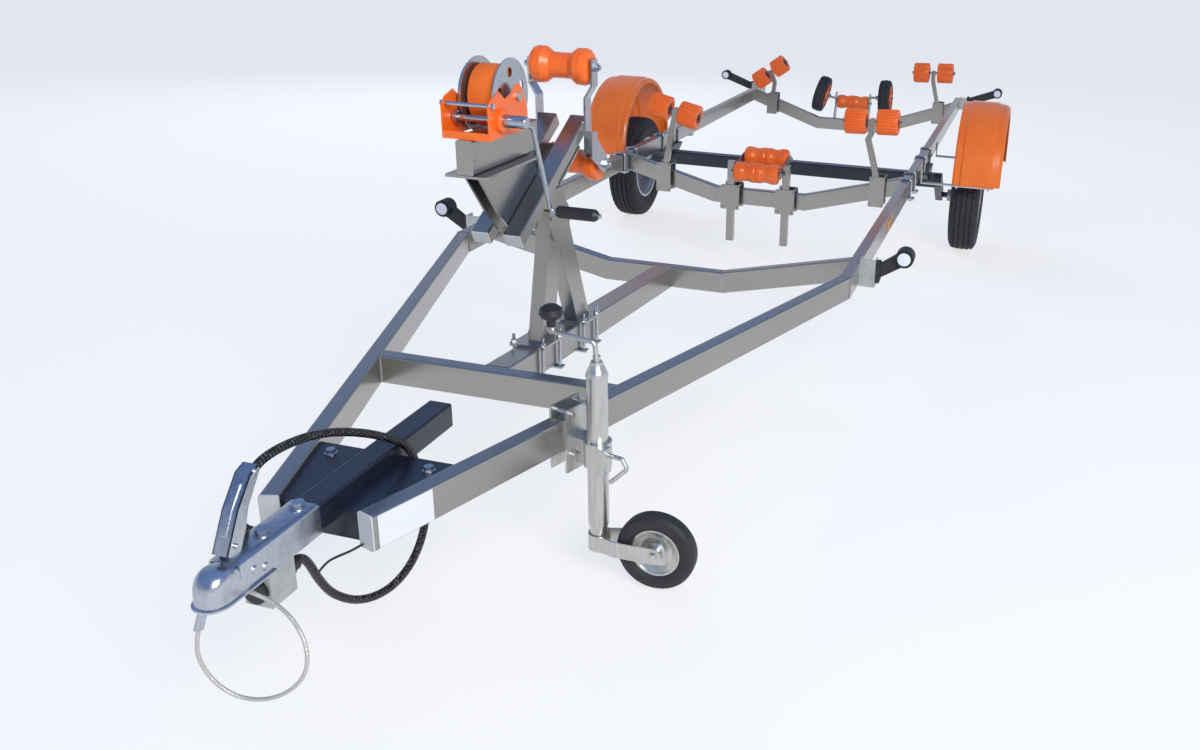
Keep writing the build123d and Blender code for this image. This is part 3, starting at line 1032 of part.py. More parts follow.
for name, dia, path in CORDS:
    radii = bends(path)
    print(name, "radii", radii)
    with BuildPart() as cord:
        with BuildLine() as route:
            FilletPolyline(*path, radius=radii)
        with BuildSketch(Plane(origin=route.line @ 0, z_dir=route.line % 0)):
            Circle(dia / 2)
        sweep(path=route.line)
    long = sum(e.length for e in route.line.edges())
    print(name, "length", round(long), "volume over section x length",
          round(cord.part.volume / (3.14159 * dia ** 2 / 4 * long), 4))
    park(cord, name)

FERRULE_DIP = 0.28      # lean of the ferrule under the coupling's lip
with BuildPart() as rope_ferrule:
    with BuildSketch(Plane(origin=(-9, -4641, 470), z_dir=(3, 4 + 6 * FERRULE_DIP, 18))):
        SlotOverall(20, 12)
    extrude(amount=33)
park(rope_ferrule, "rope_ferrule")
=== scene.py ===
"""Boat trailer parked on its jack: the finish and the small parts of each piece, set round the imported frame.

Sizes are in millimetres in the level chassis: X to the trailer's right, -Y to the coupling, Z up from the ground,
Y from the hubs. to_row sets them nose-down with the chassis and turns them into metres.
"""
import json
import math

import bmesh
import bpy
from mathutils import Matrix, Vector

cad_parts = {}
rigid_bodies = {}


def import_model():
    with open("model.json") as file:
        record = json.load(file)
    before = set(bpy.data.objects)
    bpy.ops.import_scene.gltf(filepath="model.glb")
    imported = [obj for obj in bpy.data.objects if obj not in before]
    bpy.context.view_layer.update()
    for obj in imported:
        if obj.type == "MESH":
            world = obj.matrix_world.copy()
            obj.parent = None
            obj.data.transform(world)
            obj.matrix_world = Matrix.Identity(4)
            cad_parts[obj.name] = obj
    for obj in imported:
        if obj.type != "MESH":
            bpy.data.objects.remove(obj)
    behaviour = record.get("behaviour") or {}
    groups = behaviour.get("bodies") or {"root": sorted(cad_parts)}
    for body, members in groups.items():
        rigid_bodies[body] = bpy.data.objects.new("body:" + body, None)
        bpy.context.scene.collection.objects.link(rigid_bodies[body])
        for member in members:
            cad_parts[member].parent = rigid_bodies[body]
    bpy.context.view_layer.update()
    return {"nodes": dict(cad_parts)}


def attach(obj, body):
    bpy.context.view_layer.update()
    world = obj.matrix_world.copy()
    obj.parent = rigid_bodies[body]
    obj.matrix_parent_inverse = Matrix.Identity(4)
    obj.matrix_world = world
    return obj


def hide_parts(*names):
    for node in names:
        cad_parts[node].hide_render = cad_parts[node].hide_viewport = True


for leftover in list(bpy.data.objects):
    bpy.data.objects.remove(leftover)
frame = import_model()

# ------------------------------------------------------------------ camera
# Stands in front of the coupling on the jack's side, a little above the winch, and looks down along the trailer.
PITCH, Y_AXLE, HUB_Z = math.radians(1.82), 1325.1, 289.0
to_row = (Matrix.Scale(0.001, 4) @ Matrix.Translation((0, Y_AXLE, HUB_Z)) @ Matrix.Rotation(PITCH, 4, "X")
          @ Matrix.Translation((0, 0, -HUB_Z)))
camera_data = bpy.data.cameras.new("camera")
camera_data.sensor_width = 36.0
camera_data.lens = 32.118
camera_data.shift_x, camera_data.shift_y = -0.1164, -0.0538
camera_data.clip_end = 200
camera = bpy.data.objects.new("camera", camera_data)
bpy.context.scene.collection.objects.link(camera)
EYE = (1.28507, -4.61703, 1.46419)
yaw, dip, roll = math.radians(-14.922), math.radians(-17.988), math.radians(2.489)
ahead = Vector((math.sin(yaw) * math.cos(dip), math.cos(yaw) * math.cos(dip), math.sin(dip)))
level = Vector((math.cos(yaw), -math.sin(yaw), 0))
over = level.cross(ahead)
right = level * math.cos(roll) + over * math.sin(roll)
top = over * math.cos(roll) - level * math.sin(roll)
camera.matrix_world = Matrix(((right.x, top.x, -ahead.x, EYE[0]), (right.y, top.y, -ahead.y, EYE[1]),
                              (right.z, top.z, -ahead.z, EYE[2]), (0, 0, 0, 1)))
bpy.context.scene.camera = camera
bpy.context.scene.view_settings.view_transform = "Standard"

# ------------------------------------------------------------------ cords
# A sleeved light cable loops from the plug in its holder round the frame's nose to a grommet in the black saddle.
# The breakaway rope hangs in a loop under the coupling; a thin lead joins the right arm's cap to the cable.


def principled(name, colour, roughness, metallic=0.0, **sockets):
    """A material with one Principled BSDF; returns it and its nodes."""
    material = bpy.data.materials.new(name)
    material.use_nodes = True
    shader = material.node_tree.nodes["Principled BSDF"]
    shader.inputs["Base Color"].default_value = (*colour, 1)
    shader.inputs["Roughness"].default_value = roughness
    shader.inputs["Metallic"].default_value = metallic
    for socket, value in sockets.items():
        shader.inputs[socket.replace("_", " ")].default_value = value
    return material


def effect_group(name, inputs, outputs):
    """An empty node group with named sockets; returns it with its input and output nodes."""
    group = bpy.data.node_groups.new(name, "ShaderNodeTree")
    for socket, kind, value in inputs:
        made = group.interface.new_socket(socket, in_out="INPUT", socket_type=kind)
        if value is not None:
            made.default_value = value
    for socket, kind in outputs:
        group.interface.new_socket(socket, in_out="OUTPUT", socket_type=kind)
    return group, group.nodes.new("NodeGroupInput"), group.nodes.new("NodeGroupOutput")


# braid: fine crossed ridges, as on a woven sleeve, a strap or laid rope
braid, braid_in, braid_out = effect_group(
    "braid", [("Vector", "NodeSocketVector", None), ("Ridges", "NodeSocketFloat", 300.0)],
    [("Height", "NodeSocketFloat")])
braid_waves = []
for direction in ("X", "Y", "Z"):
    wave = braid.nodes.new("ShaderNodeTexWave")
    wave.bands_direction = direction
    braid.links.new(braid_in.outputs["Vector"], wave.inputs["Vector"])
    braid.links.new(braid_in.outputs["Ridges"], wave.inputs["Scale"])
    braid_waves.append(wave)
both = braid.nodes.new("ShaderNodeMath")
both.operation = "ADD"
braid.links.new(braid_waves[0].outputs["Fac"], both.inputs[0])
braid.links.new(braid_waves[1].outputs["Fac"], both.inputs[1])
all_three = braid.nodes.new("ShaderNodeMath")
all_three.operation = "ADD"
braid.links.new(both.outputs[0], all_three.inputs[0])
braid.links.new(braid_waves[2].outputs["Fac"], all_three.inputs[1])
braid.links.new(all_three.outputs[0], braid_out.inputs["Height"])


def add_braid(material, ridges, strength, distance=0.0006):
    """Puts the braid's ridges on a material as a bump."""
    nodes, links = material.node_tree.nodes, material.node_tree.links
    place, ridge, bump = (nodes.new("ShaderNodeTexCoord"), nodes.new("ShaderNodeGroup"), nodes.new("ShaderNodeBump"))
    ridge.node_tree = braid
    ridge.inputs["Ridges"].default_value = ridges
    bump.inputs["Strength"].default_value = strength
    bump.inputs["Distance"].default_value = distance
    links.new(place.outputs["Object"], ridge.inputs["Vector"])
    links.new(ridge.outputs["Height"], bump.inputs["Height"])
    links.new(bump.outputs["Normal"], nodes["Principled BSDF"].inputs["Normal"])
    return material


sleeve_black = add_braid(principled("black ribbed sleeve", (0.010, 0.010, 0.012), 0.30), 42.0, 0.9, 0.0016)
lead_black = principled("black lead", (0.010, 0.010, 0.012), 0.45)
rope_clear = add_braid(principled("clear-coated steel rope", (0.50, 0.48, 0.43), 0.25, 0.35, Coat_Weight=0.8),
                       160.0, 0.4)

LIGHT_CABLE = ((0, -4400, 462), (0, -4383, 462), (2, -4362, 438), (0, -4338, 384), (2, -4302, 322), (22, -4250, 275),
               (46, -4190, 262), (62, -4130, 278), (70, -4080, 319), (73, -4050, 379), (67, -4040, 443),
               (55, -4041, 497), (45, -4056, 556), (30, -4130, 612), (11, -4215, 658), (-10, -4285, 681),
               (-26, -4350, 687), (-37, -4405, 682), (-39, -4445, 664), (-42, -4470, 625), (-50, -4474, 580),
               (-57, -4440, 540), (-60, -4390, 510), (-60, -4345, 497), (-60, -4305, 497))
SAFETY_ROPE = ((21, -4553, 500.3), (50, -4556, 498), (95, -4563, 492), (139, -4575, 472), (168, -4588, 434),
               (168, -4600, 387), (134, -4611, 348), (84, -4620, 326), (33, -4630, 331), (-2, -4640, 368),
               (-16, -4646, 415), (-12, -4645, 452), (-9, -4641, 470))
THIN_LEAD = ((100, -4318.2, 472), (92, -4342, 470), (66, -4352, 458), (34, -4350, 436), (13, -4348, 408))


def lay_cord(name, node, route, diameter, material, length, **says):
    """A round cord on a smooth curve through its route, in place of its plain solid."""
    curve = bpy.data.curves.new(name, "CURVE")
    curve.dimensions = "3D"
    curve.bevel_depth = diameter / 2000
    curve.bevel_resolution = 5
    curve.use_fill_caps = True
    curve.resolution_u = 12
    spline = curve.splines.new("NURBS")
    spline.points.add(len(route) - 1)
    for point, place in zip(spline.points, route):
        point.co = (*(to_row @ Vector(place)), 1)
    spline.order_u = 3
    spline.use_endpoint_u = True
    cord = bpy.data.objects.new(name, curve)
    bpy.context.scene.collection.objects.link(cord)
    cord.data.materials.append(material)
    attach(cord, "chassis")
    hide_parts(node)
    says.pop("slot")
    return cord


lay_cord("light_cable_sleeve", "light_cable", LIGHT_CABLE, 18.0, sleeve_black, 1.41, slot="black_plastic",
         far_end="object", stiffness="stiff", lay="loose", with_pieces=["plug"])
lay_cord("breakaway_rope", "safety_rope", SAFETY_ROPE, 8.0, rope_clear, 0.53, slot="rope_steel",
         far_end="object", stiffness="stiff", lay="hanging", with_pieces=["rope_ferrule"])
lay_cord("cap_lead", "thin_lead", THIN_LEAD, 5.0, lead_black, 0.127, slot="black_plastic",
         far_end="object", stiffness="medium", lay="loose")

# ------------------------------------------------------------------ studio
# A pale floor turns up into a low wall all round; above it the sky goes from pale to steel blue, as on open ground.
world = bpy.data.worlds.new("studio")
bpy.context.scene.world = world
world.use_nodes = True
nodes, links = world.node_tree.nodes, world.node_tree.links
place, split, fade = (nodes.new("ShaderNodeTexCoord"), nodes.new("ShaderNodeSeparateXYZ"),
                      nodes.new("ShaderNodeValToRGB"))
fade.color_ramp.elements[0].position, fade.color_ramp.elements[0].color = 0.12, (0.92, 0.90, 0.86, 1)
fade.color_ramp.elements[1].position, fade.color_ramp.elements[1].color = 0.42, (0.25, 0.41, 0.80, 1)
links.new(place.outputs["Generated"], split.inputs[0])
links.new(split.outputs["Z"], fade.inputs["Fac"])
links.new(fade.outputs["Color"], nodes["Background"].inputs["Color"])
nodes["Background"].inputs["Strength"].default_value = 0.75


def soft_lamp(name, place, aim, size, power, colour):
    """A broad square lamp turned to a point."""
    data = bpy.data.lights.new(name, "AREA")
    data.size, data.energy, data.color = size, power, colour
    lamp = bpy.data.objects.new(name, data)
    bpy.context.scene.collection.objects.link(lamp)
    lamp.location = place
    lamp.rotation_euler = (Vector(aim) - Vector(place)).to_track_quat("-Z", "Y").to_euler()
    return lamp


key = soft_lamp("key_lamp", (4.5, -6.5, 4.5), (0, -1, 0.5), 3.5, 480, (1, 0.96, 0.90))
fill = soft_lamp("back_lamp", (-4.5, 5.5, 5.0), (0, 0, 0.5), 4.0, 260, (0.90, 0.94, 1))
fill.visible_glossy = False
bowl = bmesh.new()
rim = [bowl.verts.new(point) for point in ((0, 0, 0), (16, 0, 0), (20, 0, 0.02), (22.4, 0, 0.3), (24, 0, 1.1),
                                           (25, 0, 2.2), (25.4, 0, 3.4))]
edges = [bowl.edges.new(pair) for pair in zip(rim, rim[1:])]
bmesh.ops.spin(bowl, geom=rim + edges, cent=(0, 0, 0), axis=(0, 0, 1), angle=math.tau, steps=96, use_merge=True)
bmesh.ops.remove_doubles(bowl, verts=bowl.verts, dist=0.0001)
bmesh.ops.recalc_face_normals(bowl, faces=bowl.faces)
floor_mesh = bpy.data.meshes.new("floor")
bowl.to_mesh(floor_mesh)
bowl.free()
floor_mesh.shade_smooth()
floor = bpy.data.objects.new("floor", floor_mesh)
bpy.context.scene.collection.objects.link(floor)
floor_paint = principled("pale floor", (0.86, 0.86, 0.86), 0.9)
nodes, links = floor_paint.node_tree.nodes, floor_paint.node_tree.links
shine, seen, first, either, share, mixed = (nodes.new("ShaderNodeEmission"), nodes.new("ShaderNodeLightPath"),
                                            nodes.new("ShaderNodeMath"), nodes.new("ShaderNodeMath"),
                                            nodes.new("ShaderNodeMath"), nodes.new("ShaderNodeMixShader"))
shine.inputs["Color"].default_value = (1, 1, 1, 1)
first.operation = either.operation = "MAXIMUM"
share.operation = "MULTIPLY"
share.inputs[1].default_value = 0.70
links.new(seen.outputs["Is Camera Ray"], first.inputs[0])
links.new(seen.outputs["Is Glossy Ray"], first.inputs[1])
links.new(first.outputs[0], either.inputs[0])
links.new(seen.outputs["Is Transmission Ray"], either.inputs[1])
links.new(either.outputs[0], share.inputs[0])
links.new(share.outputs[0], mixed.inputs["Fac"])
links.new(nodes["Principled BSDF"].outputs[0], mixed.inputs[1])
links.new(shine.outputs[0], mixed.inputs[2])
links.new(mixed.outputs[0], nodes["Material Output"].inputs["Surface"])
floor_mesh.materials.append(floor_paint)

# ------------------------------------------------------------------ frame tubes
# Welded box tube of brushed stainless, each face drawn lengthwise, with darker grain and a little handling grime.

# grain: long drawn streaks with broad cloudy patches, one value for tint and one for height
grain, grain_in, grain_out = effect_group(
    "drawn grain", [("Vector", "NodeSocketVector", None), ("Streaks", "NodeSocketFloat", 260.0),
                    ("Clouds", "NodeSocketFloat", 4.0)],
    [("Streak", "NodeSocketFloat"), ("Cloud", "NodeSocketFloat")])
for outlet, scale_name, detail in (("Streak", "Streaks", 3.0), ("Cloud", "Clouds", 4.0)):
    noise = grain.nodes.new("ShaderNodeTexNoise")
    noise.inputs["Detail"].default_value = detail
    grain.links.new(grain_in.outputs["Vector"], noise.inputs["Vector"])
    grain.links.new(grain_in.outputs[scale_name], noise.inputs["Scale"])
    grain.links.new(noise.outputs["Fac"], grain_out.inputs[outlet])


def drawn_metal(name, dark, light, low, high, metallic, along, turn=0.0, streaks=420.0, bump=0.06):
    """Metal with grain: colour runs dark to light, roughness low to high; along is the streaks' stretch."""
    material = principled(name, light, high, metallic)
    nodes, links = material.node_tree.nodes, material.node_tree.links
    shader = nodes["Principled BSDF"]
    place, map_, mark = nodes.new("ShaderNodeTexCoord"), nodes.new("ShaderNodeMapping"), nodes.new("ShaderNodeGroup")
    mark.node_tree = grain
    mark.inputs["Streaks"].default_value = streaks
    map_.inputs["Rotation"].default_value = (0, 0, turn)
    map_.inputs["Scale"].default_value = along
    links.new(place.outputs["Object"], map_.inputs["Vector"])
    links.new(map_.outputs["Vector"], mark.inputs["Vector"])
    tint = nodes.new("ShaderNodeValToRGB")
    tint.color_ramp.elements[0].position, tint.color_ramp.elements[0].color = 0.30, (*dark, 1)
    tint.color_ramp.elements[1].position, tint.color_ramp.elements[1].color = 0.68, (*light, 1)
    blend_ = nodes.new("ShaderNodeMath")
    blend_.operation = "MULTIPLY_ADD"
    blend_.inputs[1].default_value = 0.4
    links.new(mark.outputs["Streak"], blend_.inputs[0])
    half = nodes.new("ShaderNodeMath")
    half.operation = "MULTIPLY"
    half.inputs[1].default_value = 0.6
    links.new(mark.outputs["Cloud"], half.inputs[0])
    links.new(half.outputs[0], blend_.inputs[2])
    links.new(blend_.outputs[0], tint.inputs["Fac"])
    links.new(tint.outputs["Color"], shader.inputs["Base Color"])
    rough = nodes.new("ShaderNodeMapRange")
    rough.inputs["To Min"].default_value, rough.inputs["To Max"].default_value = low, high
    links.new(mark.outputs["Streak"], rough.inputs["Value"])
    links.new(rough.outputs[0], shader.inputs["Roughness"])
    relief = nodes.new("ShaderNodeBump")
    relief.inputs["Strength"].default_value = bump
    relief.inputs["Distance"].default_value = 0.0004
    links.new(mark.outputs["Streak"], relief.inputs["Height"])
    links.new(relief.outputs["Normal"], shader.inputs["Normal"])
    return material


def dress(material, *names):
    """Gives CAD nodes their finish."""
    for name in names:
        mesh = frame["nodes"][name].data
        mesh.materials.clear()
        mesh.materials.append(material)


TUBE_HALF = 21.0
ELBOW_X, ELBOW_Y, TIP_X, TIP_Y = 725.5, -2454.0, 111.5, -4317.0
ARM_TURN = math.atan2(ELBOW_X - TIP_X, ELBOW_Y - TIP_Y)
STEEL_DARK, STEEL_LIGHT = (0.33, 0.32, 0.30), (0.39, 0.38, 0.355)
steel = {}
for run, along, turn in (("lengthwise", (1, 0.03, 1), 0), ("crosswise", (0.03, 1, 1), 0),
                         ("left arm", (1, 0.03, 1), ARM_TURN), ("right arm", (1, 0.03, 1), -ARM_TURN),
                         ("upright", (1, 1, 0.05), 0)):
    steel[run] = drawn_metal(f"brushed steel {run}", STEEL_DARK, STEEL_LIGHT, 0.23, 0.29, 0.95, along, turn,
                             bump=0.012)
dress(steel["lengthwise"], "rail_left", "rail_right", "centre_beam")
dress(steel["left arm"], "front_arm_left")
dress(steel["right arm"], "front_arm_right")
dress(steel["crosswise"], "cross_front", "cross_tubes")
dress(steel["upright"], "winch_post", "wobble_posts_front", "wobble_posts_rear", "keel_cradle", "rear_keel_bracket")


def new_piece(name, shape, body, material, smooth=None, place=to_row):
    """Turns a bmesh made in chassis millimetres into a finished piece that rides a body."""
    bmesh.ops.remove_doubles(shape, verts=shape.verts, dist=0.001)
    bmesh.ops.transform(shape, matrix=place, verts=shape.verts)
    bmesh.ops.recalc_face_normals(shape, faces=shape.faces)
    mesh = bpy.data.meshes.new(name)
    shape.to_mesh(mesh)
    shape.free()
    mesh.materials.append(material)
    if smooth is not None:
        mesh.shade_smooth()
        mesh.set_sharp_from_angle(angle=math.radians(smooth))
    piece = bpy.data.objects.new(name, mesh)
    bpy.context.scene.collection.objects.link(piece)
    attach(piece, body)
    return piece


def add_block(shape, middle, size, turn=Matrix(), bevel=0.0):
    """A block of the given size about its middle, turned first, with small bevels."""
    made = bmesh.ops.create_cube(shape, size=1,
                                 matrix=Matrix.Translation(middle) @ turn @ Matrix.Diagonal((*size, 1)))
    if bevel:
        edges = list({e for v in made["verts"] for e in v.link_edges})
        bmesh.ops.bevel(shape, geom=edges, offset=bevel, segments=2, affect="EDGES", profile=0.5, material=-1)


def add_rod(shape, start, end, radius, sides=20, radius_end=None):
    """A round bar, or a hexagon with six sides, from one point to another."""
    start, end = Vector(start), Vector(end)
    turn = (end - start).to_track_quat("Z", "Y").to_matrix().to_4x4()
    bmesh.ops.create_cone(shape, cap_ends=True, segments=sides, radius1=radius,
                          radius2=radius if radius_end is None else radius_end, depth=(end - start).length,
                          matrix=Matrix.Translation((start + end) / 2) @ turn)


# ------------------------------------------------------------------ weld beads
# The tubes are welded all round where they meet; each bead is a thin raised line of bright steel.
weld_steel = drawn_metal("weld bead", (0.30, 0.29, 0.28), (0.55, 0.54, 0.52), 0.3, 0.5, 0.9, (1, 1, 1),
                         streaks=500.0)


def arm_inside(y):
    """Inner face of the right arm of the V at a station y."""
    return ELBOW_X - (ELBOW_Y - y) * math.tan(ARM_TURN) - TUBE_HALF / math.cos(ARM_TURN)


beads = bmesh.new()
for s in (-1, 1):
    for y in (-3604.5, -3562.5):
        add_rod(beads, (s * (arm_inside(y) - 1), y, 470), (s * (arm_inside(y) - 1), y, 536), 2.6, 8)
    for z in (465, 541):
        add_rod(beads, (s * (arm_inside(-3600) - 1), -3600, z), (s * (arm_inside(-3567) - 1), -3567, z), 2.6, 8)
    for x, y in ((704, ELBOW_Y + 7), (746.2, ELBOW_Y - 7)):
        add_rod(beads, (s * x, y, 468), (s * x, y, 538), 1.8, 8)
    add_rod(beads, (s * 706, -2449, 543.2), (s * 745, -2461, 543.2), 1.8, 8)
    for y in (-2261, -2219, -839, -797, 1700, 1742):
        add_rod(beads, (s * 703.6, y, 468), (s * 703.6, y, 536), 2.4, 8)
    for y, top in ((-2261, 437.5), (-839, 415.0), (1700, 375.0)):
        for edge in (y + 0.4, y + 41.6):
            add_rod(beads, (s * 226, edge, top - 4), (s * 228, edge, top - 76), 1.5, 8)
        add_rod(beads, (s * 226, y + 4, top), (s * 226, y + 38, top), 1.5, 8)
new_piece("frame_welds", beads, "chassis", weld_steel, smooth=50)

# ------------------------------------------------------------------ rating plate and side reflectors
# A blank white plate is stuck near the right arm's tip; an amber reflector sits on each rail behind the elbow.
plate_white = principled("blank white plate", (0.72, 0.73, 0.72), 0.35)
amber = principled("amber reflector", (0.90, 0.30, 0.02), 0.22, Coat_Weight=0.6)
arm_right_way = Matrix.Rotation(-ARM_TURN, 4, "Z")
plate = bmesh.new()
arm_half = TUBE_HALF / math.cos(ARM_TURN)
plate_y = -4248.0
add_block(plate, (arm_inside(plate_y) + 2 * arm_half + 0.6, plate_y, 503), (1.0, 138, 72), arm_right_way, 0.3)
new_piece("rating_plate", plate, "chassis", plate_white)
reflectors = bmesh.new()
for s in (-1, 1):
    add_block(reflectors, (s * 749, -1542, 503), (5, 92, 36), bevel=1.5)
new_piece("side_reflectors", reflectors, "chassis", amber)

# ------------------------------------------------------------------ end caps
# Light grey moulded plugs close the arms and the rails; the drawbar's own cap is black.
cap_grey = principled("light grey cap", (0.52, 0.53, 0.51), 0.5)
dress(cap_grey, "end_caps")
cap_black = principled("black cap", (0.012, 0.012, 0.014), 0.5)
caps = frame["nodes"]["end_caps"]
caps.data.materials.append(cap_black)
for face in caps.data.polygons:
    if (to_row.inverted() @ caps.matrix_world @ face.center).y > -3900 and abs(face.center.x) < 0.05:
        face.material_index = 1

# ------------------------------------------------------------------ drawbar and saddle
# Square tube in a pressed saddle, both in black paint whose blue tint is a painted sky reflection; zinc bolts hold
# the saddle to the arms.


def enamel(name, deep, worn, low, high, coat=0.3, scale=7.0, metallic=0.0):
    """Paint whose colour and gloss drift a little over the surface."""
    material = principled(name, deep, low, metallic, Coat_Weight=coat, Coat_Roughness=0.12)
    nodes, links = material.node_tree.nodes, material.node_tree.links
    place, mark, tint, rough = (nodes.new("ShaderNodeTexCoord"), nodes.new("ShaderNodeGroup"),
                                nodes.new("ShaderNodeValToRGB"), nodes.new("ShaderNodeMapRange"))
    mark.node_tree = grain
    mark.inputs["Clouds"].default_value = scale
    mark.inputs["Streaks"].default_value = scale * 30
    links.new(place.outputs["Object"], mark.inputs["Vector"])
    tint.color_ramp.elements[0].position, tint.color_ramp.elements[0].color = 0.35, (*deep, 1)
    tint.color_ramp.elements[1].position, tint.color_ramp.elements[1].color = 0.75, (*worn, 1)
    rough.inputs["To Min"].default_value, rough.inputs["To Max"].default_value = low, high
    links.new(mark.outputs["Cloud"], tint.inputs["Fac"])
    links.new(tint.outputs["Color"], nodes["Principled BSDF"].inputs["Base Color"])
    links.new(mark.outputs["Cloud"], rough.inputs["Value"])
    links.new(rough.outputs[0], nodes["Principled BSDF"].inputs["Roughness"])
    return material


# the blue in both colours is a painted reflection of the sky, not the paint's own colour
black_enamel_painted_sheen = enamel("black enamel with painted blue sheen", (0.006, 0.009, 0.018), (0.012, 0.018, 0.034), 0.30, 0.44, coat=0.15)
zinc = drawn_metal("bright zinc", (0.34, 0.37, 0.42), (0.55, 0.59, 0.64), 0.14, 0.32, 0.95, (1, 1, 1),
                   streaks=90.0)
dress(black_enamel_painted_sheen, "drawbar", "axle_beam", "swing_arms")


def add_bolt(shape, place, up, across, head, washer=1.0):
    """A washer and a hexagon head standing on a face at a place, along a direction."""
    place, up = Vector(place), Vector(up).normalized()
    add_rod(shape, place, place + up * 2, across * 0.75 * washer, 20)
    add_rod(shape, place + up * 2, place + up * (2 + head), across * 0.58, 6)


saddle_bolts = bmesh.new()
for s in (-1, 1):
    add_bolt(saddle_bolts, (s * 121, -4102, 530), (0, 0, 1), 19, 9)
new_piece("saddle_bolts", saddle_bolts, "chassis", zinc, smooth=30)

# ------------------------------------------------------------------ coupling, lever and plug holder
# A pressed zinc shell: channel body, domed nose with a lip round the ball's socket, and a folded lever on two ears.
# The holder is a plain galvanised box that carries the black plug.
galvanised = drawn_metal("galvanised sheet", (0.38, 0.39, 0.37), (0.62, 0.63, 0.60), 0.38, 0.6, 0.7, (1, 1, 1),
                         streaks=30.0)
moulded_black = enamel("moulded black", (0.010, 0.010, 0.011), (0.020, 0.020, 0.022), 0.38, 0.5, coat=0.0)
dress(zinc, "rope_ferrule")
dress(galvanised, "plug_holder", "lamp_brackets", "fender_stays")
dress(moulded_black, "plug", "jack_knob", "winch_grip")
BALL = Vector((0, -4595, 505))
PIN_Y, PIN_Z, LEVER_LEAN = -4556, 592, math.radians(58)


def add_prism(shape, corners, x1, x2):
    """A plate between two stations of X with the given outline of (y, z) corners."""
    ends = [[shape.verts.new((x, y, z)) for y, z in corners] for x in (x1, x2)]
    shape.faces.new(ends[0])
    shape.faces.new(ends[1][::-1])
    for i in range(len(corners)):
        j = (i + 1) % len(corners)
        shape.faces.new((ends[0][i], ends[1][i], ends[1][j], ends[0][j]))


def join_rings(shape, rings):
    """Skins neighbouring rings of points that have the same count."""
    for one, two in zip(rings, rings[1:]):
        for i in range(len(one)):
            j = (i + 1) % len(one)
            shape.faces.new((one[i], one[j], two[j], two[i]))


shell = bmesh.new()
levels = []
for z, half, front in ((0, 25.4, 25.4), (0, 38, 48), (4, 38, 48), (5.5, 33.6, 43.6), (25, 33, 43), (38, 32.4, 41),
                       (48, 31, 36), (55, 28, 29), (59, 24.5, 22), (61, 20, 16)):
    ring = []
    for k in range(72):
        turn = k / 72 * math.tau
        c, f = math.cos(turn), math.sin(turn)
        if half < 26:
            reach = half
        elif f > 0:
            reach = (abs(c / half) ** 2.3 + abs(f / front) ** 2.3) ** (-1 / 2.3)
        else:
            reach = min(half / max(abs(c), 1e-6), 40 / max(-f, 1e-6))
        ring.append(shell.verts.new(BALL + Vector((c * reach, -f * reach, z))))
    levels.append(ring)
roof = [shell.verts.new(v.co + Vector((0, 0, 34))) for v in levels[0]]
join_rings(shell, [roof] + levels)
shell.faces.new(roof)
shell.faces.new(levels[-1])
section = [(-33, 502), (-33, 559), (-31.5, 563.5), (-27, 566), (27, 566), (31.5, 563.5), (33, 559), (33, 502),
           (30, 502), (30, 559), (27, 562.5), (-27, 562.5), (-30, 559), (-30, 502)]
tube = [[shell.verts.new((x, y, z)) for x, z in section] for y in (-4572, -4350)]
join_rings(shell, tube)
shell.faces.new(tube[0])
shell.faces.new(tube[1])
for s in (-1, 1):
    add_block(shell, (s * 35.5, -4530, 507), (6, 84, 4), bevel=0.8)
    add_block(shell, (s * 10, -4555, 582), (4, 30, 36), bevel=1.0)
    for y, z in ((-4540, 538), (-4512, 527)):
        add_rod(shell, (s * 32, y, z), (s * 36.5, y, z), 9, 20, 5.5)
add_rod(shell, (-21, PIN_Y, PIN_Z), (21, PIN_Y, PIN_Z), 5)
for y in (-4369, -4470):
    add_bolt(shell, (0, y, 566), (0, 0, 1), 24, 9)
piece = new_piece("coupling_shell", shell, "chassis", zinc, smooth=32)
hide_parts("coupling")
lean_c, lean_s = math.cos(LEVER_LEAN), math.sin(LEVER_LEAN)
lever = bmesh.new()
for corners, spans in ((((-20, 16), (60, 21), (126, 13), (146, -2), (143, -5), (124, 10), (60, 18), (-20, 13)),
                        ((-16, 16),)),
                       (((-20, 16), (60, 21), (126, 13), (146, -2), (138, -10), (70, -6), (34, -14), (-8, -17),
                         (-20, -12)), ((-16, -13), (13, 16))),
                       (((12, 18.5), (108, 15.5), (106, 18), (60, 22.6), (14, 20)), ((-5, 5),))):
    path = [(PIN_Y + a * lean_c - b * lean_s, PIN_Z + a * lean_s + b * lean_c) for a, b in corners]
    for x1, x2 in spans:
        add_prism(lever, path, x1, x2)
for s in (-1, 1):
    knob = Vector((0, PIN_Y + 132 * lean_c, PIN_Z + 132 * lean_s))
    add_rod(lever, knob + Vector((s * 15, 0, 0)), knob + Vector((s * 18.5, 0, 0)), 8, 20, 5)
piece = new_piece("folded_lever", lever, "chassis", zinc, smooth=32)
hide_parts("coupling_lever")

# ------------------------------------------------------------------ road wheels
# Radial tyres with four ribs, shoulder blocks and ringed sidewalls on silver steel wheels.
tyre_rubber = enamel("tyre rubber", (0.014, 0.014, 0.016), (0.030, 0.030, 0.032), 0.62, 0.8, coat=0.0, scale=12)
silver = enamel("silver wheel paint", (0.36, 0.37, 0.39), (0.50, 0.51, 0.53), 0.3, 0.42, metallic=0.5)


def turned(shape, outline, middle, axis, steps=64):
    """Spins a closed outline of (along, radius) points about an axis through a middle point."""
    axis = Vector(axis).normalized()
    turn = axis.to_track_quat("Z", "Y").to_matrix().to_4x4()
    frame_ = Matrix.Translation(middle) @ turn
    start = [shape.verts.new(frame_ @ Vector((r, 0, a))) for a, r in outline]
    edges = [shape.edges.new((start[i], start[(i + 1) % len(start)])) for i in range(len(start))]
    bmesh.ops.spin(shape, geom=start + edges, cent=middle, axis=axis, angle=math.tau, steps=steps, use_merge=True)


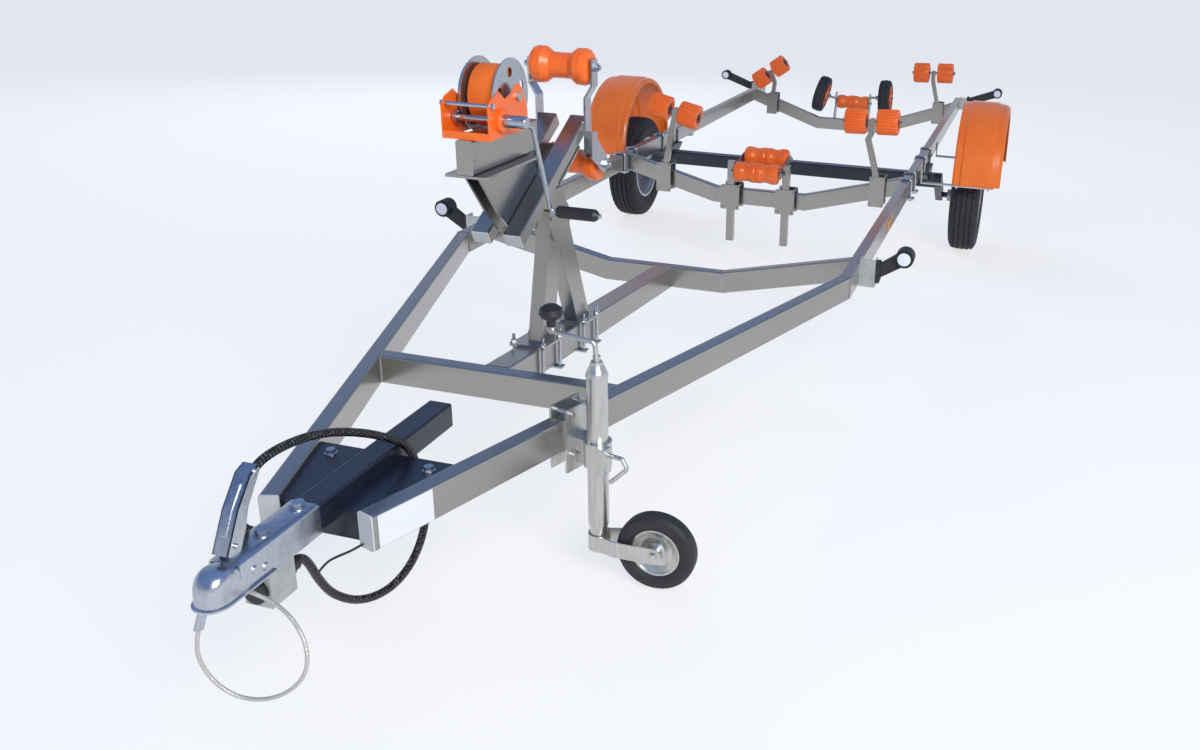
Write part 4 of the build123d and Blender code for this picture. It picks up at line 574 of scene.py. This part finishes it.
WHEEL_X, TREAD_STEPS = 971, 156
TREAD = ((61, 166.3), (61.5, 178), (65, 186), (66, 187), (69.5, 200), (70.5, 200.5), (75, 221), (77, 228),
         (76.4, 238), (74, 252), (72.6, 257), (70, 263), (64, 275), (58, 281.5), (52, 284.2), (44, 286.2), (43, 279),
         (38, 279), (37, 287.2), (17, 288.6), (16, 281), (11.5, 281), (10.5, 288.8), (0, 289))
for side, s in (("left", -1), ("right", 1)):
    tyre = bmesh.new()
    outline = [(a, r) for a, r in TREAD] + [(-a, r) for a, r in TREAD[-2::-1]]
    turned(tyre, outline, (s * WHEEL_X, 0, HUB_Z), (1, 0, 0), steps=TREAD_STEPS)
    for vert in tyre.verts:
        across, spoke = vert.co.x - s * WHEEL_X, Vector((0, vert.co.y, vert.co.z - HUB_Z))
        column = round(math.atan2(spoke.z, spoke.y) / math.tau * TREAD_STEPS) % TREAD_STEPS
        sunk = 0
        if spoke.length > 271 and abs(across) > 43.5 and column % 4 == 0:
            sunk = 6
        elif spoke.length > 284 and 16.5 < abs(across) < 37.5 and column % 4 == 2:
            sunk = 4
        if sunk:
            vert.co -= Vector((0, spoke.y, spoke.z)).normalized() * sunk
    piece = new_piece(f"road_tyre_{side}", tyre, f"wheel_{side}", tyre_rubber, smooth=28)
    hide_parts(f"tyre_{side}")
dress(silver, "rim_left", "rim_right")

# ------------------------------------------------------------------ mudguards
# Orange moulded guards with a raised band along the middle and a turned edge; a plain stay bar holds each end.
guard_orange = enamel("orange moulding", (0.90, 0.160, 0.004), (0.95, 0.195, 0.008), 0.24, 0.36, coat=0.25)
dress(guard_orange, "fender_left", "fender_right")
guard_bolts = bmesh.new()
for s in (-1, 1):
    for y in (-392 + 20, 352 + 20):
        for x in (930, 1090):
            add_bolt(guard_bolts, (s * x, y, 422), (0, 0, -1), 13, 6)
new_piece("guard_bolts", guard_bolts, "chassis", zinc, smooth=30)

# ------------------------------------------------------------------ winch post's small parts
# Moulded caps close both ends of the twin tubes; threaded rods and nuts hold the feet and pass down beside the beam.
TWIN_LOW, TWIN_HIGH = (-3530.0, 881.5), (-3110.0, 1119.5)
TWIN_SLOPE = math.atan2(TWIN_HIGH[1] - TWIN_LOW[1], TWIN_HIGH[0] - TWIN_LOW[0])
FOOT_STATIONS = (-3382, -3272, -3102, -3002)
lie = Matrix.Rotation(TWIN_SLOPE, 4, "X")


def beam_top(y):
    """Top of the sloping centre beam at a station y."""
    return 543 - 0.0811 * (y + 3562.5)


low_caps, high_caps, foot_bolts = bmesh.new(), bmesh.new(), bmesh.new()
for s in (-1, 1):
    ahead_ = Vector((0, math.cos(TWIN_SLOPE), math.sin(TWIN_SLOPE)))
    add_block(low_caps, Vector((s * 45, *TWIN_LOW)) - ahead_ * 1.7, (48, 3, 38), lie, 1.2)
    add_block(high_caps, Vector((s * 45, *TWIN_HIGH)) + ahead_ * 1.7, (48, 3, 38), lie, 1.2)
    for y in FOOT_STATIONS:
        seat = beam_top(y) + 8
        add_rod(foot_bolts, (s * 44, y, seat - 100), (s * 44, y, seat + 26), 4.5, 12)
        add_bolt(foot_bolts, (s * 44, y, seat), (0, 0, 1), 15, 8)
for y in FOOT_STATIONS:
    add_block(foot_bolts, (0, y, beam_top(y) - 85.5), (108, 26, 6), bevel=1.0)
new_piece("twin_tube_low_caps", low_caps, "chassis", cap_grey)
new_piece("twin_tube_high_caps", high_caps, "chassis", cap_black)
new_piece("foot_bolts", foot_bolts, "chassis", zinc, smooth=30)

# ------------------------------------------------------------------ winch
# Orange pressed frame, zinc drum between two rods, orange webbing wound in turns, bent crank with a black grip.
winch_orange = enamel("orange enamel", (0.88, 0.13, 0.004), (0.94, 0.165, 0.007), 0.26, 0.38, coat=0.25)
webbing = add_braid(principled("orange webbing", (0.86, 0.16, 0.008), 0.7), 130.0, 0.5)
dress(winch_orange, "winch_frame")
dress(zinc, "winch_drum", "winch_pins", "bow_roller_arms")
dress(steel["upright"], "winch_bracket")
dress(zinc, "winch_crank")
DRUM, TURNS, CORE_R, TURN_T = (0, -3512, 1243), 14, 24, 3.7
strap = bmesh.new()
turns = [(-33, 22.3), (33, 22.3)]
for i in range(TURNS):
    r = CORE_R + i * TURN_T
    turns += [(33 - (i % 2) * 0.9, r), (33 - (i % 2) * 0.9, r + 3.2), (31.8, r + 3.45)]
turns += [(32, 75.2), (30, 76), (-30, 76), (-32, 75.2)]
for i in reversed(range(TURNS)):
    r = CORE_R + i * TURN_T
    turns += [(-31.8, r + 3.45), (-33 + (i % 2) * 0.9, r + 3.2), (-33 + (i % 2) * 0.9, r)]
turned(strap, turns, DRUM, (1, 0, 0), steps=72)
piece = new_piece("strap_turns", strap, "winch_drum", webbing, smooth=30)
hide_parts("winch_strap")
boss = bmesh.new()
turned(boss, [(0.2, 15.8), (0.2, 29), (9, 28), (13, 24), (13, 15.8)], (62, -3604, 1199), (1, 0, 0), steps=48)
new_piece("crank_boss", boss, "chassis", winch_orange, smooth=30)

# ------------------------------------------------------------------ rollers
# Orange moulded rollers; the swivelling ones have ribs along them and black bushes in their ends.
roller_orange = enamel("orange roller plastic", (0.90, 0.130, 0.004), (0.94, 0.165, 0.007), 0.28, 0.42, coat=0.2)
bush_black = principled("black bush", (0.012, 0.012, 0.013), 0.5)
dress(roller_orange, "bow_roller_upper", "bow_roller_lower", "keel_roller_front", "keel_roller_middle",
      "keel_roller_rear")
POST_T, RIB_STEPS, BACK = 30.0, 96, Vector((0, 1, 0))
# name, front face of the cross tube, centre x and z, tilt, half spacing, half length, radius
WOBBLE = (("front_right", -839, 541, 803, 2, 76, 51, 60), ("front_left", -839, -440, 780, -13, 76, 51, 60),
          ("rear_right", 1700, 566, 742, 2, 80, 52, 66), ("rear_left", 1700, -589, 672, 36, 79, 50, 62))
for name, face, x, z, tilt, spread, half, r in WOBBLE:
    lean = math.radians(tilt)
    pin = Vector((math.cos(lean), 0, math.sin(lean)))
    pair, bushes = bmesh.new(), bmesh.new()
    for k in (-1, 1):
        middle = Vector((x, face - POST_T / 2, z)) + pin * (k * spread)
        outline = [(-half + 12, 8.1), (half - 12, 8.1), (half - 12, 30), (half - 1, 38), (half, 42), (half, r - 7),
                   (half - 3, r - 2), (half - 8, r), (-half + 8, r), (-half + 3, r - 2), (-half, r - 7), (-half, 42),
                   (-half + 1, 38), (-half + 12, 30)]
        turned(pair, outline, middle, pin, steps=RIB_STEPS)
        for vert in pair.verts:
            offset = vert.co - middle
            along = offset.dot(pin)
            spoke = offset - pin * along
            if abs(along) < half - 2 and spoke.length > r - 4:
                column = round(math.atan2(spoke.dot(BACK), spoke.dot(pin.cross(BACK)))
                               / math.tau * RIB_STEPS) % RIB_STEPS
                if column % 4 in (0, 1):
                    vert.co -= spoke.normalized() * 3.4
        for e in (-1, 1):
            turned(bushes, [(e * (half - 11.8), 8.2), (e * (half - 11.8), 27), (e * (half - 5), 24),
                            (e * (half - 5), 14), (e * (half - 1), 12), (e * (half - 1), 8.2)], middle, pin, steps=32)
    piece = new_piece(f"ribbed_rollers_{name}", pair, f"wobble_rollers_{name}", roller_orange,
                      smooth=30)
    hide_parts(f"wobble_rollers_{name}")
    new_piece(f"bushes_{name}", bushes, f"wobble_rollers_{name}", bush_black, smooth=30)

# ------------------------------------------------------------------ guide wheels
# Solid black tyres on orange moulded discs, with eight round ribs on each face, at the tail.
GUIDE_STEPS = 120
for side, s, lean in (("left", -1, 14.0), ("right", 1, 2.0)):
    tilt = math.radians(lean)
    pin = Vector((s * math.cos(tilt), 0, math.sin(tilt)))
    middle = Vector((s * 230, 1800, 530))
    tread, disc = bmesh.new(), bmesh.new()
    half_line = ((40, 84), (40, 97), (38.5, 99), (38.5, 108), (36, 117), (29, 122.5), (19, 125.5), (18, 122),
                 (10, 122), (9, 126.5), (0, 127))
    turned(tread, [(a, r) for a, r in half_line] + [(-a, r) for a, r in half_line[-2::-1]], middle, pin,
           steps=GUIDE_STEPS)
    for vert in tread.verts:
        offset = vert.co - middle
        along = offset.dot(pin)
        spoke = offset - pin * along
        if spoke.length > 116 and abs(along) > 18.5:
            column = round(math.atan2(spoke.y, spoke.dot(pin.cross(BACK))) / math.tau * GUIDE_STEPS) % GUIDE_STEPS
            if column % 5 == 0:
                vert.co -= spoke.normalized() * 4
    piece = new_piece(f"guide_tyre_{side}", tread, f"guide_wheel_{side}", tyre_rubber, smooth=30)
    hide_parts(f"guide_wheel_{side}")
    turned(disc, [(-40, 8.1), (40, 8.1), (40, 28), (14, 32), (12, 72), (32, 77), (36, 84), (-36, 84), (-32, 77),
                  (-12, 72), (-14, 32), (-40, 28)], middle, pin, steps=64)
    for k in range(8):
        spoke = Matrix.Rotation(k * math.tau / 8, 3, pin) @ BACK
        for e in (-1, 1):
            add_rod(disc, middle + spoke * 28 + pin * e * 13, middle + spoke * 74 + pin * e * 13, 6, 12)
    new_piece(f"guide_disc_{side}", disc, f"guide_wheel_{side}", roller_orange, smooth=30)

# ------------------------------------------------------------------ fasteners on the frame
# Zinc U-bolts go over the rails, with clamp plates beneath.
dress(zinc, "rail_ubolts")

# ------------------------------------------------------------------ marker lamps
# Black rubber arms end in round lamps, white lens to the front and red to the rear.
lamp_rubber = enamel("lamp rubber", (0.012, 0.012, 0.013), (0.022, 0.022, 0.024), 0.5, 0.65, coat=0.0)
dress(lamp_rubber, "marker_lamps")
lens_white = principled("white lens", (0.80, 0.82, 0.82), 0.18, Coat_Weight=0.6)
lens_red = principled("red lens", (0.55, 0.010, 0.010), 0.18, Coat_Weight=0.6)
for name, material, face, way in (("front_lenses", lens_white, -32.0, -1), ("rear_lenses", lens_red, 32.0, 1)):
    lenses = bmesh.new()
    for s in (-1, 1):
        for x, y, z in ((901, -2270, 577), (998, 1960, 597)):
            turned(lenses, [(0, 0.5), (0, 23), (1.2, 23), (2.2, 16), (2.8, 0.5)], (s * x, y + face, z),
                   (0, way, 0), steps=32)
    new_piece(name, lenses, "chassis", material, smooth=40)

# ------------------------------------------------------------------ jack
# Zinc-plated telescopic tube in a clamp, crank with a black knob, and a rubber wheel on a pressed zinc rim.
jack_zinc = drawn_metal("jack zinc", (0.40, 0.40, 0.38), (0.68, 0.68, 0.65), 0.22, 0.42, 0.9, (1, 1, 0.1),
                        streaks=120.0)
jack_rubber = enamel("jack tyre rubber", (0.014, 0.014, 0.016), (0.026, 0.026, 0.028), 0.5, 0.7, coat=0.0)
dress(jack_zinc, "jack_bracket", "jack_tube", "jack_leg", "jack_fork", "jack_rim")
dress(jack_rubber, "jack_tyre")
